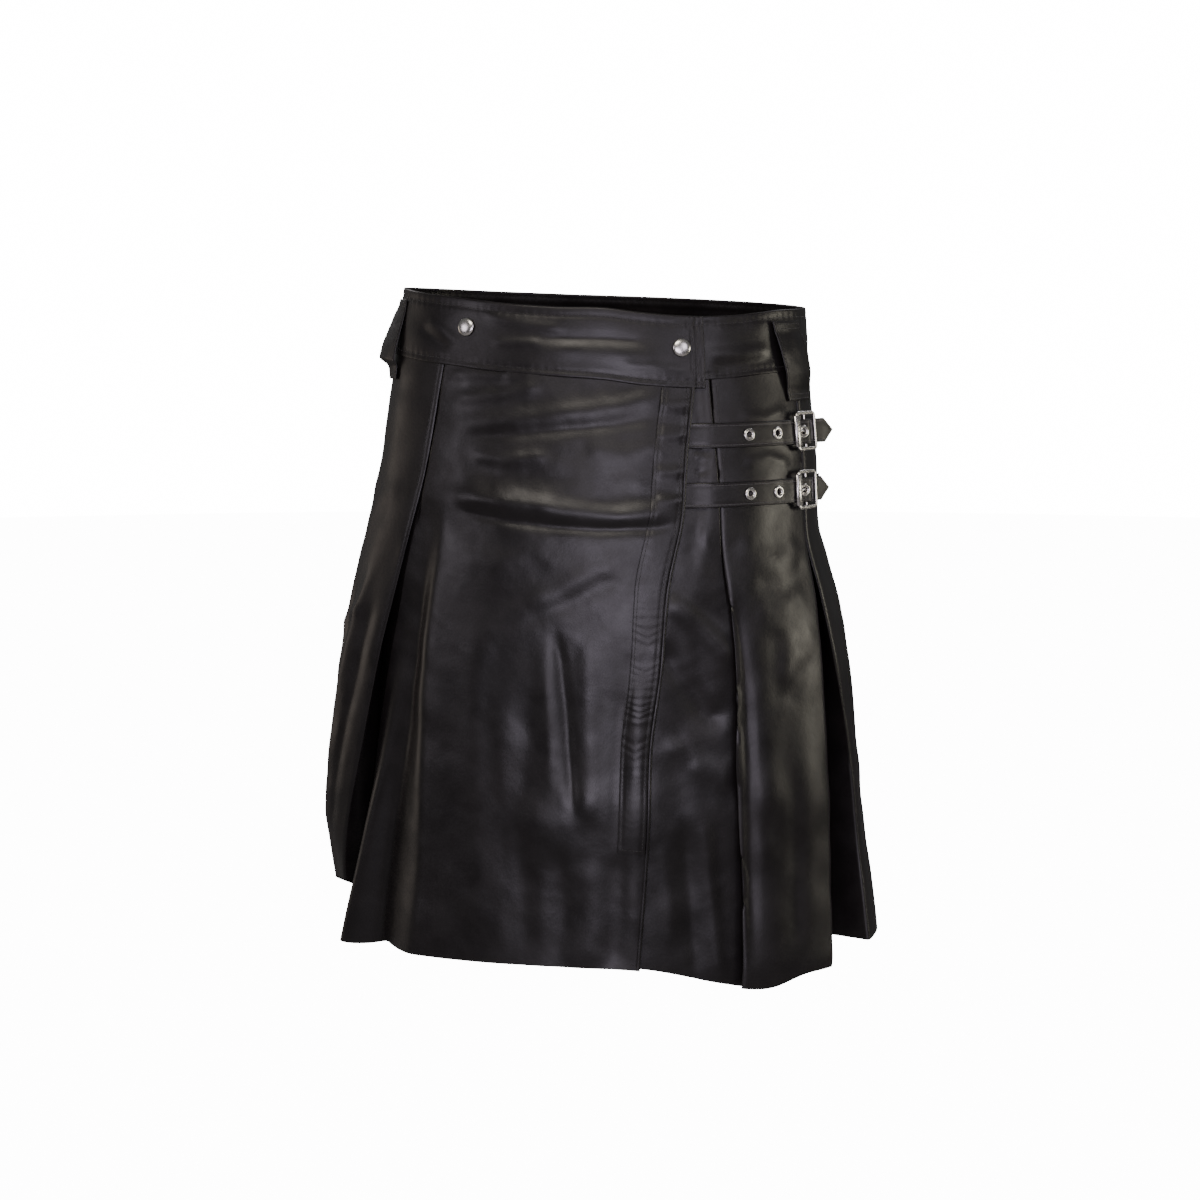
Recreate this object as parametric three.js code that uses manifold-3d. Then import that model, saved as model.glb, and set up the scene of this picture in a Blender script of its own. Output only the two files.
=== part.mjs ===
// A wrap-around leather kilt, worn height and hollow, with nobody in it.
// Millimetres, +Z up. The front faces -Y and the wearer's left is +X. The origin is the middle of the waist,
// level with the waistband's top edge, where the wearer holds the garment up.
import * as THREE from "three";
import { mergeVertices } from "three/addons/utils/BufferGeometryUtils.js";
import Module from "manifold-3d";

const wasm = await Module();
wasm.setup();

// Driving dimensions
const LEATHER = 1.4; // wall of every cut panel
const LAYER_GAP = 1.0; // air between two layers that lie on each other
const SEAM_GAP = 0.3; // between two pieces that are sewn or held together
const FOLD = LEATHER + LAYER_GAP; // from the middle of one layer to the middle of the next
const BAND_HEIGHT = 60;
const BAND_WALL = 2.6;
const BAND_LAP = BAND_WALL + 0.8; // how far the inner end of the band lies inside the outer one
const PLEAT_RETURN = 36; // leather folded back behind each edge of a pleat's face
const STRAP_WIDTH = 22;
const STRAP_WALL = 2.0;
const EYELET_SPACING = 32;
const EYELET_OUTER = 5.75; // radius of the flange
const EYELET_HOLE = 2.6;
const EYELET_BARREL = 3.4;
const BUCKLE_LENGTH = 33;
const BUCKLE_HEIGHT = 36;
const BUCKLE_BAR = 4;
const BUCKLE_WALL = 2.6;
const SNAP_RADIUS = 8;
const LOOP_WIDTH = 40;

const RAD = Math.PI / 180;

// The plan of the garment at each height: half widths on the wearer's left and right, and half depths at the
// front and back.
const PLAN = {
  z: [30, -55, -130, -190, -250, -300, -400, -470, -575],
  left: [181, 188, 195, 198, 213, 223, 234, 241, 257],
  right: [181, 194, 205, 218, 231, 241, 254, 260, 264],
  front: [119, 128, 138, 145, 149, 151, 155, 158, 165],
  back: [124, 138, 155, 168, 178, 186, 200, 210, 225],
};
// Height of the waistband's top edge, by angle from the front, plus towards the wearer's left.
const TOP_EDGE = {
  angle: [-180, -90, -48, -27, -15, 0, 10, 20, 28, 36, 48, 62, 90, 180],
  z: [18, 27, 20, 14, 11.5, 8, 3.5, 0.8, 0, 1.2, 5, 8, 9, 18],
};
// Height of the hem round the garment.
const HEM = {
  angle: [-180, -120, -95, -68, -55, -38, -18, 0, 10, 17, 23, 34, 39, 43, 52, 70, 100, 180],
  z: [
    -566, -562, -568, -575, -567, -566, -567, -569, -573,
    -581, -587, -595, -593, -585, -584, -572, -568, -566,
  ],
};
// Heights of the rows that every panel shares, from its top to its hem.
const ROWS = [-55, -100, -145, -190, -225, -265, -310, -370, -440, -510, -575];
// Heights that the tables of folds below are given at.
const LEVELS = [-55, -190, -300, -400, -470, -575];

// Smooth curve through a table without overshoot (monotone cubic).
function curve(xs, ys) {
  const n = xs.length;
  const up = xs[n - 1] > xs[0];
  const x = up ? xs : [...xs].reverse();
  const y = up ? ys : [...ys].reverse();
  const slope = x.slice(1).map((v, i) => (y[i + 1] - y[i]) / (v - x[i]));
  const m = x.map((_, i) => {
    if (i === 0) return slope[0];
    if (i === n - 1) return slope[n - 2];
    const [a, b] = [slope[i - 1], slope[i]];
    return a * b <= 0 ? 0 : (2 * a * b) / (a + b);
  });
  return (at) => {
    const v = Math.min(Math.max(at, x[0]), x[n - 1]);
    let i = 0;
    while (i < n - 2 && v > x[i + 1]) i += 1;
    const h = x[i + 1] - x[i];
    const t = (v - x[i]) / h;
    const t2 = t * t;
    const t3 = t2 * t;
    return (
      (2 * t3 - 3 * t2 + 1) * y[i] +
      (t3 - 2 * t2 + t) * h * m[i] +
      (3 * t2 - 2 * t3) * y[i + 1] +
      (t3 - t2) * h * m[i + 1]
    );
  };
}
const byLevel = (values) => curve(LEVELS, values);
const mix = (a, b, f) => a + (b - a) * f;
const ease = (f) => {
  const c = Math.min(Math.max(f, 0), 1);
  return c * c * (3 - 2 * c);
};

const halfPlan = {
  left: curve(PLAN.z, PLAN.left),
  right: curve(PLAN.z, PLAN.right),
  front: curve(PLAN.z, PLAN.front),
  back: curve(PLAN.z, PLAN.back),
};
const topEdge = curve(TOP_EDGE.angle, TOP_EDGE.z);
const hemEdge = curve(HEM.angle, HEM.z);
const turned = (angle) => angle - 360 * Math.round(angle / 360);

// Half width and half depth of the plan that hold at an angle and height.
function axes(angle, z) {
  const a = turned(angle) * RAD;
  const wide = Math.sin(a) >= 0 ? halfPlan.left(z) : halfPlan.right(z);
  return [wide, Math.cos(a) >= 0 ? halfPlan.front(z) : halfPlan.back(z)];
}
// Millimetres round the plan for each degree.
function perDegree(angle, z) {
  const [a, b] = axes(angle, z);
  return RAD * Math.hypot(a * Math.cos(angle * RAD), b * Math.sin(angle * RAD));
}
// A point of the plan at an angle and height, moved outwards along the horizontal normal.
function surface(angle, z, off) {
  const [a, b] = axes(angle, z);
  const t = angle * RAD;
  const n = [Math.sin(t) / a, -Math.cos(t) / b];
  const length = Math.hypot(n[0], n[1]);
  return [a * Math.sin(t) + (off * n[0]) / length, -b * Math.cos(t) + (off * n[1]) / length];
}
// Real height of a row at an angle: the rows are given for a level top edge and hem, and are stretched to the
// real ones.
function rowHeight(row, angle, lift = 0) {
  const top = topEdge(turned(angle)) - BAND_HEIGHT - SEAM_GAP;
  const f = (row - ROWS[0]) / (ROWS[ROWS.length - 1] - ROWS[0]);
  return mix(top, hemEdge(turned(angle)) + lift, f);
}

// Closed wall from a grid of centre points, rows[i][j] = [x, y, z], thickened in each row's own plane.
// ends may give the outward normals of each row's first and last column, so that two walls meet face to face.
function wallGeometry(rows, wall, ends) {
  const columns = rows[0].length;
  const across = rows.map((row, i) =>
    row.map((p, j) => {
      if (ends && (j === 0 || j === columns - 1)) return ends[i][j ? 1 : 0];
      const before = row[Math.max(j - 1, 0)];
      const after = row[Math.min(j + 1, columns - 1)];
      const one = [p[0] - before[0], p[1] - before[1]];
      const two = [after[0] - p[0], after[1] - p[1]];
      const l1 = Math.hypot(...one) || 1;
      const l2 = Math.hypot(...two) || 1;
      const n1 = j ? [one[1] / l1, -one[0] / l1] : [two[1] / l2, -two[0] / l2];
      const n2 = j < columns - 1 ? [two[1] / l2, -two[0] / l2] : n1;
      const sum = [n1[0] + n2[0], n1[1] + n2[1]];
      const scale = 2 / Math.max(sum[0] * sum[0] + sum[1] * sum[1], 1);
      return [sum[0] * scale, sum[1] * scale];
    }),
  );
  const side = (sign) =>
    rows.map((row, i) =>
      row.map((p, j) => [
        p[0] + (sign * across[i][j][0] * wall) / 2,
        p[1] + (sign * across[i][j][1] * wall) / 2,
        p[2],
      ]),
    );
  return shellGeometry(side(1), side(-1));
}
// Closed body between two grids of the same size, outer and inner.
function shellGeometry(outer, inner) {
  const rows = outer.length;
  const columns = outer[0].length;
  const position = [...outer, ...inner].flat(2);
  const at = (layer, i, j) => (layer * rows + i) * columns + j;
  const index = [];
  const quad = (a, b, c, d) => index.push(a, b, c, a, c, d);
  for (let i = 0; i < rows - 1; i++)
    for (let j = 0; j < columns - 1; j++) {
      quad(at(0, i, j), at(0, i + 1, j), at(0, i + 1, j + 1), at(0, i, j + 1));
      quad(at(1, i, j), at(1, i, j + 1), at(1, i + 1, j + 1), at(1, i + 1, j));
    }
  for (let j = 0; j < columns - 1; j++) {
    quad(at(0, 0, j), at(0, 0, j + 1), at(1, 0, j + 1), at(1, 0, j));
    quad(at(0, rows - 1, j), at(1, rows - 1, j), at(1, rows - 1, j + 1), at(0, rows - 1, j + 1));
  }
  for (let i = 0; i < rows - 1; i++) {
    quad(at(0, i, 0), at(1, i, 0), at(1, i + 1, 0), at(0, i + 1, 0));
    quad(at(0, i, columns - 1), at(0, i + 1, columns - 1), at(1, i + 1, columns - 1), at(1, i, columns - 1));
  }
  const geometry = new THREE.BufferGeometry();
  geometry.setAttribute("position", new THREE.Float32BufferAttribute(position, 3));
  geometry.setIndex(index);
  return geometry;
}

const black = { color: 0x17130f, roughness: 0.42, metalness: 0 };
const steel = { color: 0xc9c9c6, roughness: 0.2, metalness: 1 };
const kilt = new THREE.Group();
function add(name, geometry, finish) {
  geometry.computeVertexNormals();
  const mesh = new THREE.Mesh(geometry, new THREE.MeshStandardMaterial(finish));
  mesh.name = name;
  kilt.add(mesh);
  return mesh;
}

// Panels

// The lapped edge of the outer apron: angle by height.
const lapEdge = curve(
  [-55, -118, -166, -239, -310, -378, -463, -575],
  [24.8, 21.9, 20.7, 15.4, 13, 10.4, 9.3, 6.9],
);
// The folds at the outer apron's side, from the seam under the first pleat to the apron's own rolled edge.
// Each has its angle and its depth behind the plan at each of LEVELS.
const APRON_FOLDS = [
  { fold: "seam", angle: [-48, -52, -58, -66, -74, -88], off: [-4.8, -4.8, -18, -30, -38, -44] },
  { fold: "ridge", angle: [-46, -48.5, -52, -58.5, -64, -74], off: [-4.8, -4.8, -14, -16, -14, -9] },
  { fold: "valley", angle: [-44, -45.5, -47.5, -51, -55.5, -62.5], off: [-4.4, -4.4, -16, -27, -34, -40] },
  { fold: "roll", angle: [-40, -41, -42, -41, -40, -42], off: [-3, -2, 0, 0, 0, 0] },
].map(({ angle, off }) => ({ angle: byLevel(angle), off: byLevel(off) }));
const ROLL = APRON_FOLDS[APRON_FOLDS.length - 1];
// How far inside the plan the outer apron lies: nothing, but for its eased start beside the first pleat.
const apronLevel = (angle, row) => mix(0, ROLL.off(row), ease((-22 - angle) / 18));

// Points between the fold columns are spread by a smooth curve through them, so that each fold is round.
function throughFolds(folds, row, steps) {
  const places = folds.map((_, i) => i);
  const angle = curve(places, folds.map((f) => f.angle(row)));
  const off = curve(places, folds.map((f) => f.off(row)));
  const points = [];
  for (let k = 0; k <= (folds.length - 1) * steps; k++) points.push([angle(k / steps), off(k / steps)]);
  return points;
}
// A panel from a function that gives each row's [angle, off] list.
function panel(pathOfRow, liftAt = () => 0) {
  const paths = ROWS.map(pathOfRow);
  const height = (i, [angle, , k]) => rowHeight(ROWS[i], angle, liftAt(k));
  const outward = (i, [angle, , k]) => {
    const z = height(i, [angle, 0, k]);
    const [p, q] = [surface(angle, z, 0), surface(angle, z, 1)];
    return [q[0] - p[0], q[1] - p[1]];
  };
  const rows = paths.map((path, i) =>
    path.map((point) => {
      const z = height(i, point);
      return [...surface(point[0], z, point[1]), z];
    }),
  );
  const ends = paths.map((path, i) => [outward(i, path[0]), outward(i, path[path.length - 1])]);
  return wallGeometry(rows, LEATHER, ends);
}
const APRON_COLUMNS = 13;
add(
  "outer_apron",
  panel((row) => {
    const folds = throughFolds(APRON_FOLDS, row, 3);
    folds[0][0] += SEAM_GAP / 2 / perDegree(folds[0][0], row);
    const start = ROLL.angle(row);
    const end = lapEdge(row);
    for (let k = 1; k <= APRON_COLUMNS; k++) {
      const angle = mix(start, end, k / APRON_COLUMNS);
      folds.push([angle, apronLevel(angle, row)]);
    }
    return folds;
  }),
  black,
);

// Pleat faces. The first left pleat and the front edge of the last right one follow the photograph, and the
// others share what is left round the back, with the gaps that open below the stitched part.
const LEFT_1 = {
  start: byLevel([29.5, 31.3, 31, 30, 29.9, 28.3]),
  end: byLevel([66, 67, 62.5, 60.5, 58.5, 54]),
};
const RIGHT_1_EDGE = byLevel([-48, -52, -58, -65, -73, -90]);
const RIGHT_1_SINK = byLevel([0, 0, -6, -12, -16, -18]);
const SIDE_OPENING = byLevel([0, 0, 18, 42, 52, 60]);
const BACK_OPENING = byLevel([0, 0, 5, 9, 11, 13]);
const BACK_PLEATS = [
  "pleat_left_2",
  "pleat_left_3",
  "pleat_back",
  "pleat_right_3",
  "pleat_right_2",
  "pleat_right_1",
];
const SCAN = 2; // degrees a step when the arc round the back is measured

// Start and end angles of the faces round the back in one row, by arc length from the first left pleat.
function backFaces(row) {
  const first = LEFT_1.end(row);
  const last = RIGHT_1_EDGE(row) + 360;
  const marks = [[first, 0]];
  for (let angle = first; angle < last; angle += SCAN) {
    const step = Math.min(SCAN, last - angle);
    marks.push([angle + step, marks[marks.length - 1][1] + step * perDegree(angle + step / 2, row)]);
  }
  const total = marks[marks.length - 1][1];
  const toAngle = (arc) => {
    const k = Math.max(1, marks.findIndex((m) => m[1] >= arc - 1e-6));
    const [a, b] = [marks[k - 1], marks[k]];
    return mix(a[0], b[0], (arc - a[1]) / (b[1] - a[1]));
  };
  const count = BACK_PLEATS.length;
  const width = (total - SIDE_OPENING(row) - (count - 1) * BACK_OPENING(row)) / count;
  return BACK_PLEATS.map((_, i) => {
    const start = SIDE_OPENING(row) + i * (width + BACK_OPENING(row));
    return [toAngle(start), toAngle(Math.min(start + width, total))];
  });
}

// Depths at LEVELS behind a pleat's edges: of the return's inner fold, and of the underlay's middle.
const SIDE_DEPTH = { fold: byLevel([4.8, 4.8, 22, 38, 46, 52]), middle: byLevel([4.8, 4.8, 20, 34, 40, 44]) };
const BACK_DEPTH = { fold: byLevel([4.8, 4.8, 13, 22, 27, 31]), middle: byLevel([4.8, 4.8, 9, 13, 15, 17]) };
const underDepth = byLevel([4.8, 4.8, 7, 9, 10.5, 12]);
const FRONT_DEPTH = { fold: underDepth, middle: underDepth };
const FACE_COLUMNS = 6;
// From a pleat's edge line to the middle of its folded leather, so that two pleats side by side stay clear.
const EDGE_CLEAR = LEATHER / Math.SQRT2 + SEAM_GAP / 2;

// One edge of a pleat in one row: points from the seam in the underlay, round the return, to the face's edge.
// side is +1 at the edge with the smaller angle. Positions are millimetres from the edge, plus under the
// face.
function pleatEdge(row, edgeAngle, sink, seamAngle, depth, side) {
  const scale = perDegree(edgeAngle, row) * side;
  const drop = depth.fold(row) + sink;
  const under = Math.sqrt(Math.max(PLEAT_RETURN ** 2 - drop ** 2, 100));
  const slant = Math.max(45 * RAD, Math.atan2(drop, under));
  const h = FOLD / Math.SQRT2;
  const outer = [EDGE_CLEAR, sink - FOLD / 2];
  const corner = [under, -depth.fold(row) + FOLD / 2];
  const seam = ((seamAngle - edgeAngle) * perDegree(edgeAngle, row)) * side + SEAM_GAP / 2;
  const middle = -depth.middle(row);
  const points = [
    [seam, middle],
    [mix(seam, corner[0], 0.5), mix(middle, -depth.fold(row), 0.6)],
    [corner[0] - FOLD / 2, corner[1] - FOLD / 2],
    corner,
    [corner[0] - h * Math.cos(slant), corner[1] + h * Math.sin(slant)],
    [outer[0] + h * Math.cos(slant), outer[1] - h * Math.sin(slant)],
    outer,
    [EDGE_CLEAR + FOLD / 2, sink],
  ];
  return points.map(([along, off]) => [edgeAngle + along / scale, off]);
}
function pleat(name, faceOfRow, seams, depths, sinks, lift = () => 0) {
  add(
    name,
    panel((row) => {
      const [start, end] = faceOfRow(row);
      const first = pleatEdge(row, start, sinks[0](row), seams[0](row), depths[0], 1);
      const last = pleatEdge(row, end, sinks[1](row), seams[1](row), depths[1], -1).reverse();
      const from = first[first.length - 1];
      const to = last[0];
      const face = [];
      for (let k = 1; k < FACE_COLUMNS; k++) {
        const f = k / FACE_COLUMNS;
        const sunk = from[1] * (1 - ease(f * 2.5)) + to[1] * (1 - ease((1 - f) * 2.5));
        face.push([mix(from[0], to[0], f), sunk]);
      }
      return [...first, ...face, ...last].map(([angle, off], k) => [angle, off, k]);
    }, lift),
    black,
  );
}
const flat = () => 0;
// The seam under the first left pleat's front edge lies a little way in, where the edge hides it.
const LEFT_1_SEAM_IN = 14;
const left1Seam = (row) => LEFT_1.start(row) + LEFT_1_SEAM_IN / perDegree(LEFT_1.start(row), row);
const middleOf = (a, b) => (row) => mix(a(row), b(row), 0.5);
pleat(
  "pleat_left_1",
  (row) => [LEFT_1.start(row), LEFT_1.end(row)],
  [left1Seam, middleOf(LEFT_1.end, (row) => backFaces(row)[0][0])],
  [FRONT_DEPTH, SIDE_DEPTH],
  [flat, flat],
);
// The last pleat's front corner is drawn up at the hem: by this much in all, by the columns of its section.
const RIGHT_1_LIFT = { height: 44, from: 6, full: 13, falls: 15, to: 22 };
function cornerLift(column) {
  const { height, from, full, falls, to } = RIGHT_1_LIFT;
  const rise = ease((column - from) / (full - from));
  return height * rise * (column < falls ? 1 : ease((to - column) / (to - falls)));
}
BACK_PLEATS.forEach((name, i) => {
  const lastOne = i === BACK_PLEATS.length - 1;
  const before = i ? (row) => backFaces(row)[i - 1][1] : LEFT_1.end;
  const after = lastOne ? null : (row) => backFaces(row)[i + 1][0];
  const start = (row) => backFaces(row)[i][0];
  const end = (row) => backFaces(row)[i][1];
  pleat(
    name,
    (row) => backFaces(row)[i],
    [middleOf(before, start), lastOne ? (row) => APRON_FOLDS[0].angle(row) + 360 : middleOf(end, after)],
    [i ? BACK_DEPTH : SIDE_DEPTH, lastOne ? SIDE_DEPTH : BACK_DEPTH],
    [flat, lastOne ? RIGHT_1_SINK : flat],
    lastOne ? cornerLift : () => 0,
  );
});

// The under apron: from its free inner end to the seam under the first left pleat.
const UNDER_START = -33;
const UNDER_COLUMNS = 15;
add(
  "under_apron",
  panel((row) => {
    const end = left1Seam(row) - SEAM_GAP / 2 / perDegree(30, row);
    const points = [];
    for (let k = 0; k <= UNDER_COLUMNS; k++) {
      const angle = mix(UNDER_START, end, k / UNDER_COLUMNS);
      points.push([angle, Math.min(apronLevel(angle, row), 0) - FRONT_DEPTH.middle(row)]);
    }
    return points;
  }),
  black,
);

// The waistband: one strip that runs from its outer end, round the wearer's right side, the back and the left
// side, to the inner end that lies under the front.
const BAND_OUTER_END = 28.2;
const BAND_INNER_END = -36;
const BAND_STEP = 5;
const BAND_ROWS = 3;
// Its inner end lies inside by BAND_LAP. It gets there between these two turns, which are angles that run on
// from BAND_OUTER_END down to BAND_INNER_END - 360.
const BAND_SINKS = { from: -285, to: -323 };
const bandOff = (turn) => -BAND_LAP * ease((turn - BAND_SINKS.from) / (BAND_SINKS.to - BAND_SINKS.from));
{
  const turns = [BAND_OUTER_END];
  const last = BAND_INNER_END - 360;
  const first = Math.floor(BAND_OUTER_END / BAND_STEP) * BAND_STEP;
  for (let turn = first; turn > last; turn -= BAND_STEP) turns.push(turn);
  turns.push(last);
  turns.reverse();
  const rows = [];
  for (let i = 0; i <= BAND_ROWS; i++)
    rows.push(
      turns.map((turn) => {
        const z = topEdge(turned(turn)) - (BAND_HEIGHT * i) / BAND_ROWS;
        return [...surface(turn, z, bandOff(turn)), z];
      }),
    );
  add("waistband", wallGeometry(rows, BAND_WALL), black);
}

// The placket strip lies on the outer apron along its lapped edge.
const PLACKET = { width: byLevel([27, 28, 26, 25, 25, 25]), end: -470, inset: 1.5, wall: 1.1 };
const PLACKET_ROWS = 18;
{
  const rows = [];
  for (let i = 0; i <= PLACKET_ROWS; i++) {
    const row = mix(ROWS[0], PLACKET.end, i / PLACKET_ROWS);
    const per = perDegree(lapEdge(row), row);
    const right = lapEdge(row) - PLACKET.inset / per;
    const left = right - PLACKET.width(row) / per;
    rows.push(
      [0, 0.5, 1].map((f) => {
        const angle = mix(left, right, f);
        const z = rowHeight(row, angle) - (i ? 0 : 1);
        return [...surface(angle, z, LEATHER / 2 + SEAM_GAP + PLACKET.wall / 2 + 0.2), z];
      }),
    );
  }
  add("placket_strip", wallGeometry(rows, PLACKET.wall), black);
}

// Solids for joins and cuts
function toSolid(geometry) {
  const bare = new THREE.BufferGeometry();
  const source = geometry.index ? geometry.toNonIndexed() : geometry;
  bare.setAttribute("position", source.getAttribute("position"));
  const merged = mergeVertices(bare, 1e-3);
  return new wasm.Manifold(
    new wasm.Mesh({
      numProp: 3,
      vertProperties: new Float32Array(merged.attributes.position.array),
      triVerts: new Uint32Array(merged.index.array),
    }),
  );
}
function fromSolid(solid) {
  const mesh = solid.getMesh();
  const geometry = new THREE.BufferGeometry();
  geometry.setAttribute("position", new THREE.BufferAttribute(new Float32Array(mesh.vertProperties), 3));
  geometry.setIndex(new THREE.BufferAttribute(new Uint32Array(mesh.triVerts), 1));
  return geometry;
}

// Straps and buckles. A strap follows the garment as far as STRAIGHT_FROM and runs on straight from there.
const STRAIGHT_FROM = 60;
const STRAP_ROOT = 15; // angle where the strap starts, hidden under the apron
// buckleAt is the way past STRAIGHT_FROM to the middle of the buckle, tipAt from there to the strap's point.
const STRAPS = [
  { name: "upper", z: -101, buckleAt: 17, tipAt: 41 },
  { name: "lower", z: -153, buckleAt: 14, tipAt: 35 },
];
const TIP_LENGTH = 12;
const TIP_SHARE = 0.04; // of the strap's width that is left at its point
// Height of the strap's middle above the plan, by distance from the middle of the buckle.
const HUMP = {
  along: [-32, -18, -12, 0, 2, 12, 18, 42],
  off: [2.3, 4.2, 4.2, 8.0, 8.0, 4.2, 4.2, 5.4],
};
// Place on a strap: along is measured from the middle of the buckle, off outwards, up across the strap.
function strapFrame(z) {
  const origin = surface(STRAIGHT_FROM, z, 0);
  const ahead = surface(STRAIGHT_FROM + 0.5, z, 0);
  const l = Math.hypot(ahead[0] - origin[0], ahead[1] - origin[1]);
  const tangent = [(ahead[0] - origin[0]) / l, (ahead[1] - origin[1]) / l];
  const normal = [tangent[1], -tangent[0]];
  return { origin, tangent, normal };
}
function onStrap(strap, along, off, up) {
  const z = strap.z + up;
  const past = along + strap.buckleAt;
  if (past > 0) {
    const { origin, tangent, normal } = strapFrame(z);
    return [
      origin[0] + tangent[0] * past + normal[0] * off,
      origin[1] + tangent[1] * past + normal[1] * off,
      z,
    ];
  }
  let angle = STRAIGHT_FROM;
  for (let left = -past; left > 0; left -= 2) angle -= Math.min(left, 2) / perDegree(angle, strap.z);
  return [...surface(angle, z, off), z];
}
// Distance from the buckle back to an angle on the garment.
function alongOf(strap, angle) {
  let along = -strap.buckleAt;
  for (let a = STRAIGHT_FROM; a > angle; a -= 0.25) along -= 0.25 * perDegree(a, strap.z);
  return along;
}
const humpOff = (along) => {
  const i = Math.max(0, HUMP.along.findIndex((v) => v >= along) - 1);
  if (along <= HUMP.along[0]) return HUMP.off[0];
  const f = (along - HUMP.along[i]) / (HUMP.along[i + 1] - HUMP.along[i]);
  return mix(HUMP.off[i], HUMP.off[i + 1], f);
};
// The strap dives under the apron between these two angles.
const DIVE = { from: 25.8, to: 22.8, depth: -2.4 };
function strapOff(strap, along) {
  const top = alongOf(strap, DIVE.from);
  const bottom = alongOf(strap, DIVE.to);
  if (along >= top) return humpOff(along);
  return mix(DIVE.depth, humpOff(along), ease((along - bottom) / (top - bottom)));
}
const EYELET_FIRST = -6; // the eyelet in the buckle sits on the strap's slope
const LATHE_SIDES = 16;

// A geometry drawn in a strap's own axes (x along, y up, z outwards), placed at a point of it and tilted.
function placeOnStrap(geometry, strap, along, off, tilt = 0) {
  const here = onStrap(strap, along, off, 0);
  const next = onStrap(strap, along + 0.5, off, 0);
  const over = onStrap(strap, along, off, 4);
  const under = onStrap(strap, along, off, -4);
  const x = new THREE.Vector3(next[0] - here[0], next[1] - here[1], next[2] - here[2]).normalize();
  const up = new THREE.Vector3(over[0] - under[0], over[1] - under[1], over[2] - under[2]).normalize();
  const z = new THREE.Vector3().crossVectors(x, up).normalize();
  const y = new THREE.Vector3().crossVectors(z, x);
  const basis = new THREE.Matrix4().makeBasis(x, y, z).setPosition(...here);
  return geometry.applyMatrix4(new THREE.Matrix4().makeRotationY(-tilt)).applyMatrix4(basis);
}
// Round body along its own z axis from a half profile of [radius, height].
function turnedBody(profile, sides = LATHE_SIDES) {
  const points = profile.map(([r, h]) => new THREE.Vector2(r, h));
  return new THREE.LatheGeometry(points, sides).rotateX(Math.PI / 2);
}
function strip(strap, stations, halfWidthAt, offAt, wall) {
  const grid = (sign) =>
    stations.map((along, i) => {
      const w = halfWidthAt(along);
      const before = stations[Math.max(i - 1, 0)];
      const after = stations[Math.min(i + 1, stations.length - 1)];
      const slope = (offAt(after) - offAt(before)) / (after - before);
      const thick = ((sign * wall) / 2) * Math.hypot(1, slope);
      return [w, 0, -w].map((up) => onStrap(strap, along, offAt(along) + thick, up));
    });
  return shellGeometry(turnGrid(grid(1)), turnGrid(grid(-1)));
}
const turnGrid = (grid) => grid[0].map((_, j) => grid.map((row) => row[j]));

function roundedFrame(length, height, radius) {
  const [x, y] = [length / 2, height / 2];
  const path = new THREE.Path();
  path.moveTo(-x + radius, -y);
  path.lineTo(x - radius, -y);
  path.absarc(x - radius, -y + radius, radius, -Math.PI / 2, 0);
  path.lineTo(x, y - radius);
  path.absarc(x - radius, y - radius, radius, 0, Math.PI / 2);
  path.lineTo(-x + radius, y);
  path.absarc(-x + radius, y - radius, radius, Math.PI / 2, Math.PI);
  path.lineTo(-x, -y + radius);
  path.absarc(-x + radius, -y + radius, radius, Math.PI, 1.5 * Math.PI);
  return path;
}
const SIDE_BAR_OFF = 6.8; // height of the buckle's frame above the plan
const CENTRE_BAR_OFF = 4.0;
const CENTRE_BAR_RADIUS = 1.2;
const CHAPE_WALL = 1.2;
const PRONG_RADIUS = 0.95;

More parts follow.
